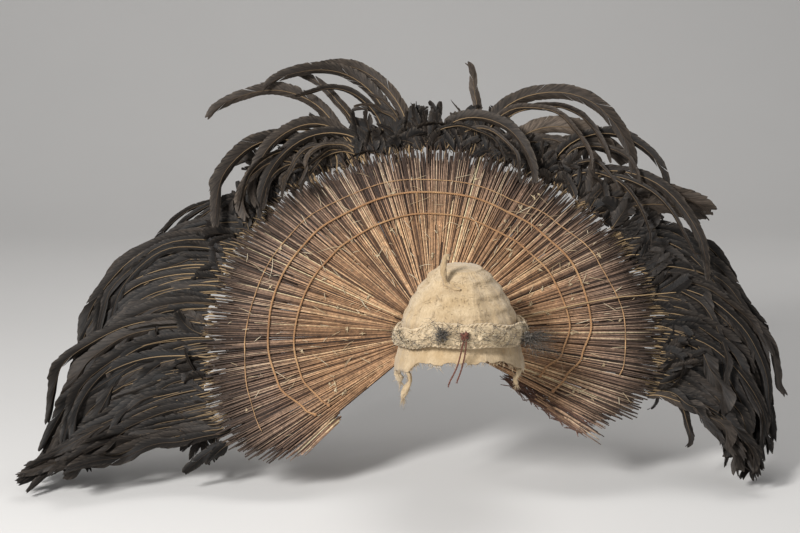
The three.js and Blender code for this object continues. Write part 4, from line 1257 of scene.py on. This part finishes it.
def feather(maker, route, width, tone, spacing=5.2, twist=(0.0, 0.0), camber=0.3, bare=0.06, split=0.5,
            shaft=1.0, slants=(34, 15), dull=0.0):
    """One feather: a tapering shaft, paler the less dull it is, and two vanes, split into clumps of barbs."""
    _feathers[0] += 1
    total = np.linalg.norm(np.diff(route, axis=0), axis=1).sum()
    count = max(int(total / spacing), 16)
    course = smooth_course(route, count)
    along, side, face = frames_along(course, np.array([0.0, -1.0, 0.0]))
    s = np.linspace(0, 1, count)
    roll = (twist[0] + (twist[1] - twist[0]) * s)[:, None]
    side, face = side * np.cos(roll) + face * np.sin(roll), face * np.cos(roll) - side * np.sin(roll)
    thin = slice(None, None, max(count // 20, 1))
    shaft_course = course[thin] + face[thin] * 0.4
    radii = shaft * (1.45 - 1.2 * s[thin] ** 0.7)
    nothing = np.zeros(len(shaft_course))
    paleness = dull + (1 - dull) * s[thin]
    tube(maker, shaft_course, radii, 5, np.stack([paleness, nothing, nothing + tone, nothing], axis=1),
         hint=(0, -1, 0.01))
    half_width = width / 2 * vane_profile(s)
    slant = np.radians(slants[0] + (slants[1] - slants[0]) * s)
    for sign in (1, -1):
        k = int(count * bare)
        while k < count - 2:
            down = max(0.0, 1 - s[k] * 4)
            size = min(rng.randrange(4, 5 + int(16 / (0.3 + split + down))), count - 1 - k)
            rows = np.arange(k, k + size + 1)
            open_angle = rng.gauss(0, (0.05 + 0.25 * down) * split)
            reach = 1 + rng.gauss(0, 0.05 + 0.14 * down * split)
            lift = rng.gauss(0, 0.5)
            share = (rows - k) / max(size, 1)
            frayed = (1 - 0.10 * split * np.abs(2 * share - 1) ** 3
                      + 0.03 * np.array([rng.gauss(0, 1) for _ in rows]))
            half = half_width[rows] * reach * frayed
            lean = slant[rows] + open_angle
            closing = (0.5 - share) * spacing * (0.5 + 1.6 * down) * split
            u = VANE_COLUMNS[None, :]
            forward = half[:, None] * (u / np.tan(np.clip(lean, 0.2, 1.5))[:, None] * (1 - 0.12 * u)
                                       ) + closing[:, None] * u * u
            out = half[:, None] * u
            back = lift * u - camber * half[:, None] * u * u
            points = (course[rows][:, None, :] + side[rows][:, None, :] * (sign * out)[:, :, None]
                      + along[rows][:, None, :] * forward[:, :, None]
                      + face[rows][:, None, :] * back[:, :, None])
            values = np.zeros((len(rows), len(VANE_COLUMNS), 4))
            values[:, :, 0] = s[rows][:, None]
            values[:, :, 1] = 0.05 + 0.95 * u
            values[:, :, 2] = min(max(tone + rng.gauss(0, 0.05), 0), 1)
            values[:, :, 3] = (s[rows] * total / 10)[:, None] + _feathers[0] * 7.3 + sign * 3.1
            faces = [grid(len(rows), len(VANE_COLUMNS), False)]
            maker.add(points.reshape(-1, 3), faces, values.reshape(-1, 4))
            k += size


def between_rows(rows, at):
    rows = np.array(sorted(rows), float)
    return [look_up(rows, k, at) for k in range(1, rows.shape[1])]


def wander(route, amount):
    """A slow unevenness that grows towards the tip."""
    salt = rng.uniform(0, 100)
    share = np.linspace(0, 1, len(route)) ** 1.3
    drift = np.array([[rough((k * 40, 0, 0), 110, salt), rough((k * 40, 0, 0), 110, salt + 31),
                       rough((k * 40, 0, 0), 110, salt + 67)] for k in range(len(route))])
    route = route + drift * (amount * share)[:, None]
    route[:, 2] = np.maximum(route[:, 2], LOWEST + FLOOR_CLEAR)
    return route


def wing(maker, rows, count, spread, tones):
    low, high = min(r[0] for r in rows), max(r[0] for r in rows)
    for k in range(count):
        at = low + (high - low) * (k + rng.random()) / count
        start, end, bend, length, width, lean = between_rows(rows, at)
        length *= rng.uniform(0.84, 1.0) if rng.random() < 0.75 else rng.uniform(0.55, 0.84)
        length *= 1 - 0.1 * min(max((at - 185) / 15, 0), 1)
        lean += rng.uniform(-28, 22)
        calm = spread * (0.4 if at > 188 or at < -8 else 1.0)
        route = feather_route(at, start + rng.gauss(0, calm), end + rng.gauss(0, calm * 1.4), bend, length,
                              lean, lift=rng.uniform(-1.5, 2.5))
        route = wander(route, 16)
        tone = drawn_tone(tones, 0.03, 0.97)
        feather(maker, route, width * rng.uniform(0.34, 0.68), tone,
                twist=(rng.gauss(0, 0.3), rng.gauss(0.1, 0.5)), camber=rng.uniform(0.15, 0.5),
                bare=rng.uniform(0.05, 0.12), split=0.35, slants=(30, 11),
                shaft=rng.uniform(0.6, 0.9), dull=rng.uniform(0.3, 0.9))


def crown(maker, rows, companions, tones):
    for row in rows:
        at, start, end, bend, length, width, lean = row
        tone = drawn_tone((tones[0] + 0.12, tones[1]), 0.05, 0.97)
        route = wander(feather_route(at, start, end, bend, length, lean), 6)
        feather(maker, route, width, tone, spacing=3.8, twist=(rng.gauss(0, 0.15), rng.gauss(0, 0.3)),
                camber=0.35, bare=0.08, split=0.35, dull=0.3)
        for _ in range(companions):
            near = at + rng.gauss(0, 2.6)
            route = feather_route(near, start + rng.gauss(0, 9), end + rng.gauss(0, 12), bend,
                                  length * rng.uniform(0.4, 0.85), lean + rng.uniform(-14, 14),
                                  lift=rng.uniform(-1, 2))
            route = wander(route, 12)
            feather(maker, route, width * rng.uniform(0.35, 0.6), drawn_tone(tones, 0.03, 0.97),
                    twist=(rng.gauss(0, 0.4), rng.gauss(0, 0.7)), bare=0.08, dull=0.45)


def fluff(maker, low, high, count, reach, tones):
    """Short soft feathers that stand out between and behind the stick tips."""
    for _ in range(count):
        at = rng.uniform(low, high)
        heading = at + rng.gauss(0, 20)
        length = rng.uniform(*reach)
        route = feather_route(at, heading, heading + rng.gauss(0, 55), 1.0, length, rng.uniform(-12, 18),
                              lift=rng.uniform(-2, 3))
        route[:, 2] = np.maximum(route[:, 2], LOWEST + FLOOR_CLEAR)
        feather(maker, route, rng.uniform(13, 26), drawn_tone(tones, 0.02, 0.9), spacing=4.0,
                twist=(rng.gauss(0, 0.6), rng.gauss(0, 0.8)), camber=0.2, bare=0.2, split=1.0, shaft=0.5,
                slants=(52, 30), dull=rng.uniform(0.55, 0.95))


def binding(maker, rows):
    """Thin cords that bind the quills to the sticks behind the fan."""
    low, high = min(r[0] for r in rows) - 1.2, max(r[0] for r in rows) + 1.2
    for _ in range(int((high - low) * 16)):
        at = rng.uniform(low, high)
        radius = fan_radius(at, "tip") - BINDING_INSET + rng.uniform(-BINDING_HALF, BINDING_HALF)
        lift = BINDING_LIFT + rng.uniform(-1.8, 2.2)
        slope = rng.gauss(0, 5)
        strand = [fan_point(at + t * 3, radius + slope * t, lift + 0.6 * math.sin(3 * t))
                  for t in (-0.6, 0, 0.6)]
        tube(maker, strand, [0.7, 1.5, 0.7], 4, [0.9, 0.3, rng.uniform(0.05, 0.45), at])
    for shift in (-11, -4, 3, 10):
        route = []
        for at in np.linspace(low, high, int((high - low) * 2.4)):
            radius = fan_radius(at, "tip") - BINDING_INSET + shift + 1.4 * rough((at, shift, 0), 3, 2)
            route.append(fan_point(at, radius, BINDING_LIFT - 0.8 + 1.1 * math.sin(at * 3.1 + shift)))
        tube(maker, route, 1.3, 5, [0.1, 0.0, 0.35, 0.0])


DARK_TONES, BROWN_TONES, FLUFF_TONES = (0.42, 0.2), (0.5, 0.2), (0.3, 0.18)      # mean and spread
# first and last angle, count, shortest and longest
WING_FLUFF = {"left": (136, 210, 70, (40, 90)), "right": (-16, 34, 60, (40, 90))}
CROWN_FLUFF = {"left": (90, 136, 90, (30, 100)), "right": (34, 92, 110, (30, 100))}


def wing_plumes(hand, rows, count, single):
    """A wing's feathers; single is the rows of those placed one by one."""
    maker = Maker("along", "across", "tone", "barb")
    wing(maker, rows, count, 5, DARK_TONES)
    fluff(maker, *WING_FLUFF[hand], DARK_TONES)
    crown(maker, single, 0, DARK_TONES)
    binding(maker, rows + single)
    fit(maker, hand + "_wing_feathers", DARK_VANE, hand + "_wing_plumes")


def crown_plumes(hand, rows):
    maker = Maker("along", "across", "tone", "barb")
    crown(maker, rows, 2, BROWN_TONES)
    fluff(maker, *CROWN_FLUFF[hand], FLUFF_TONES)
    binding(maker, rows)
    fit(maker, hand + "_crown_feathers", BROWN_VANE, hand + "_crown_plumes")


wing_plumes("left", LEFT_WING, 125, ())
crown_plumes("left", LEFT_CROWN)
crown_plumes("right", RIGHT_CROWN)
wing_plumes("right", RIGHT_WING[:-1], 115, RIGHT_WING[-1:])


# ------------------------------------------------------------------ finish

# metres
STAGE_FRONT, STAGE_BACK = -5.0, 2.2
STAGE_SWEEP = 1.6                 # radius of the bend between floor and backdrop
STAGE_TOP = 5.0
STAGE_HALF_WIDTH = 7.0
STAGE_STEPS = 12
# name, place, aim, size and watts
LIGHTS = (
    ("key", (-1.7, -2.3, 1.75), (0, 0, 0.05), 0.7, 150),
    ("fill", (2.4, -1.6, 0.9), (0.1, 0, 0), 1.6, 14),
    ("top", (0.3, 0.9, 2.4), (0, 0.1, 0.1), 1.4, 26),
)


def stage():
    low = cad_box[0][2] - 0.004
    profile = [(STAGE_FRONT, low), (STAGE_BACK, low)]
    for k in range(1, STAGE_STEPS + 1):
        turn = math.radians(90 * k / STAGE_STEPS)
        profile.append((STAGE_BACK + STAGE_SWEEP * math.sin(turn), low + STAGE_SWEEP * (1 - math.cos(turn))))
    profile.append((STAGE_BACK + STAGE_SWEEP, STAGE_TOP))
    points = [(x, y, z) for y, z in profile for x in (-STAGE_HALF_WIDTH, STAGE_HALF_WIDTH)]
    data = bpy.data.meshes.new("floor")
    data.from_pydata(points, [], [(2 * k, 2 * k + 1, 2 * k + 3, 2 * k + 2) for k in range(len(profile) - 1)])
    for face in data.polygons:
        face.use_smooth = True
    floor = bpy.data.objects.new("floor", data)
    floor.data.materials.append(plain_material("floor_finish", (0.60, 0.585, 0.565), 0.8))
    bpy.context.collection.objects.link(floor)
    bpy.context.scene.view_settings.view_transform = "Standard"
    world = bpy.data.worlds.new("studio")
    bpy.context.scene.world = world
    world.use_nodes = True
    world.node_tree.nodes["Background"].inputs[0].default_value = (0.78, 0.80, 0.84, 1)
    world.node_tree.nodes["Background"].inputs[1].default_value = 0.28
    for name, place, aim, size, power in LIGHTS:
        data = bpy.data.lights.new(name, "AREA")
        data.size = size
        data.energy = power
        lamp = bpy.data.objects.new(name, data)
        lamp.location = place
        lamp.rotation_euler = (Vector(aim) - Vector(place)).to_track_quat("-Z", "Y").to_euler()
        bpy.context.collection.objects.link(lamp)


stage()
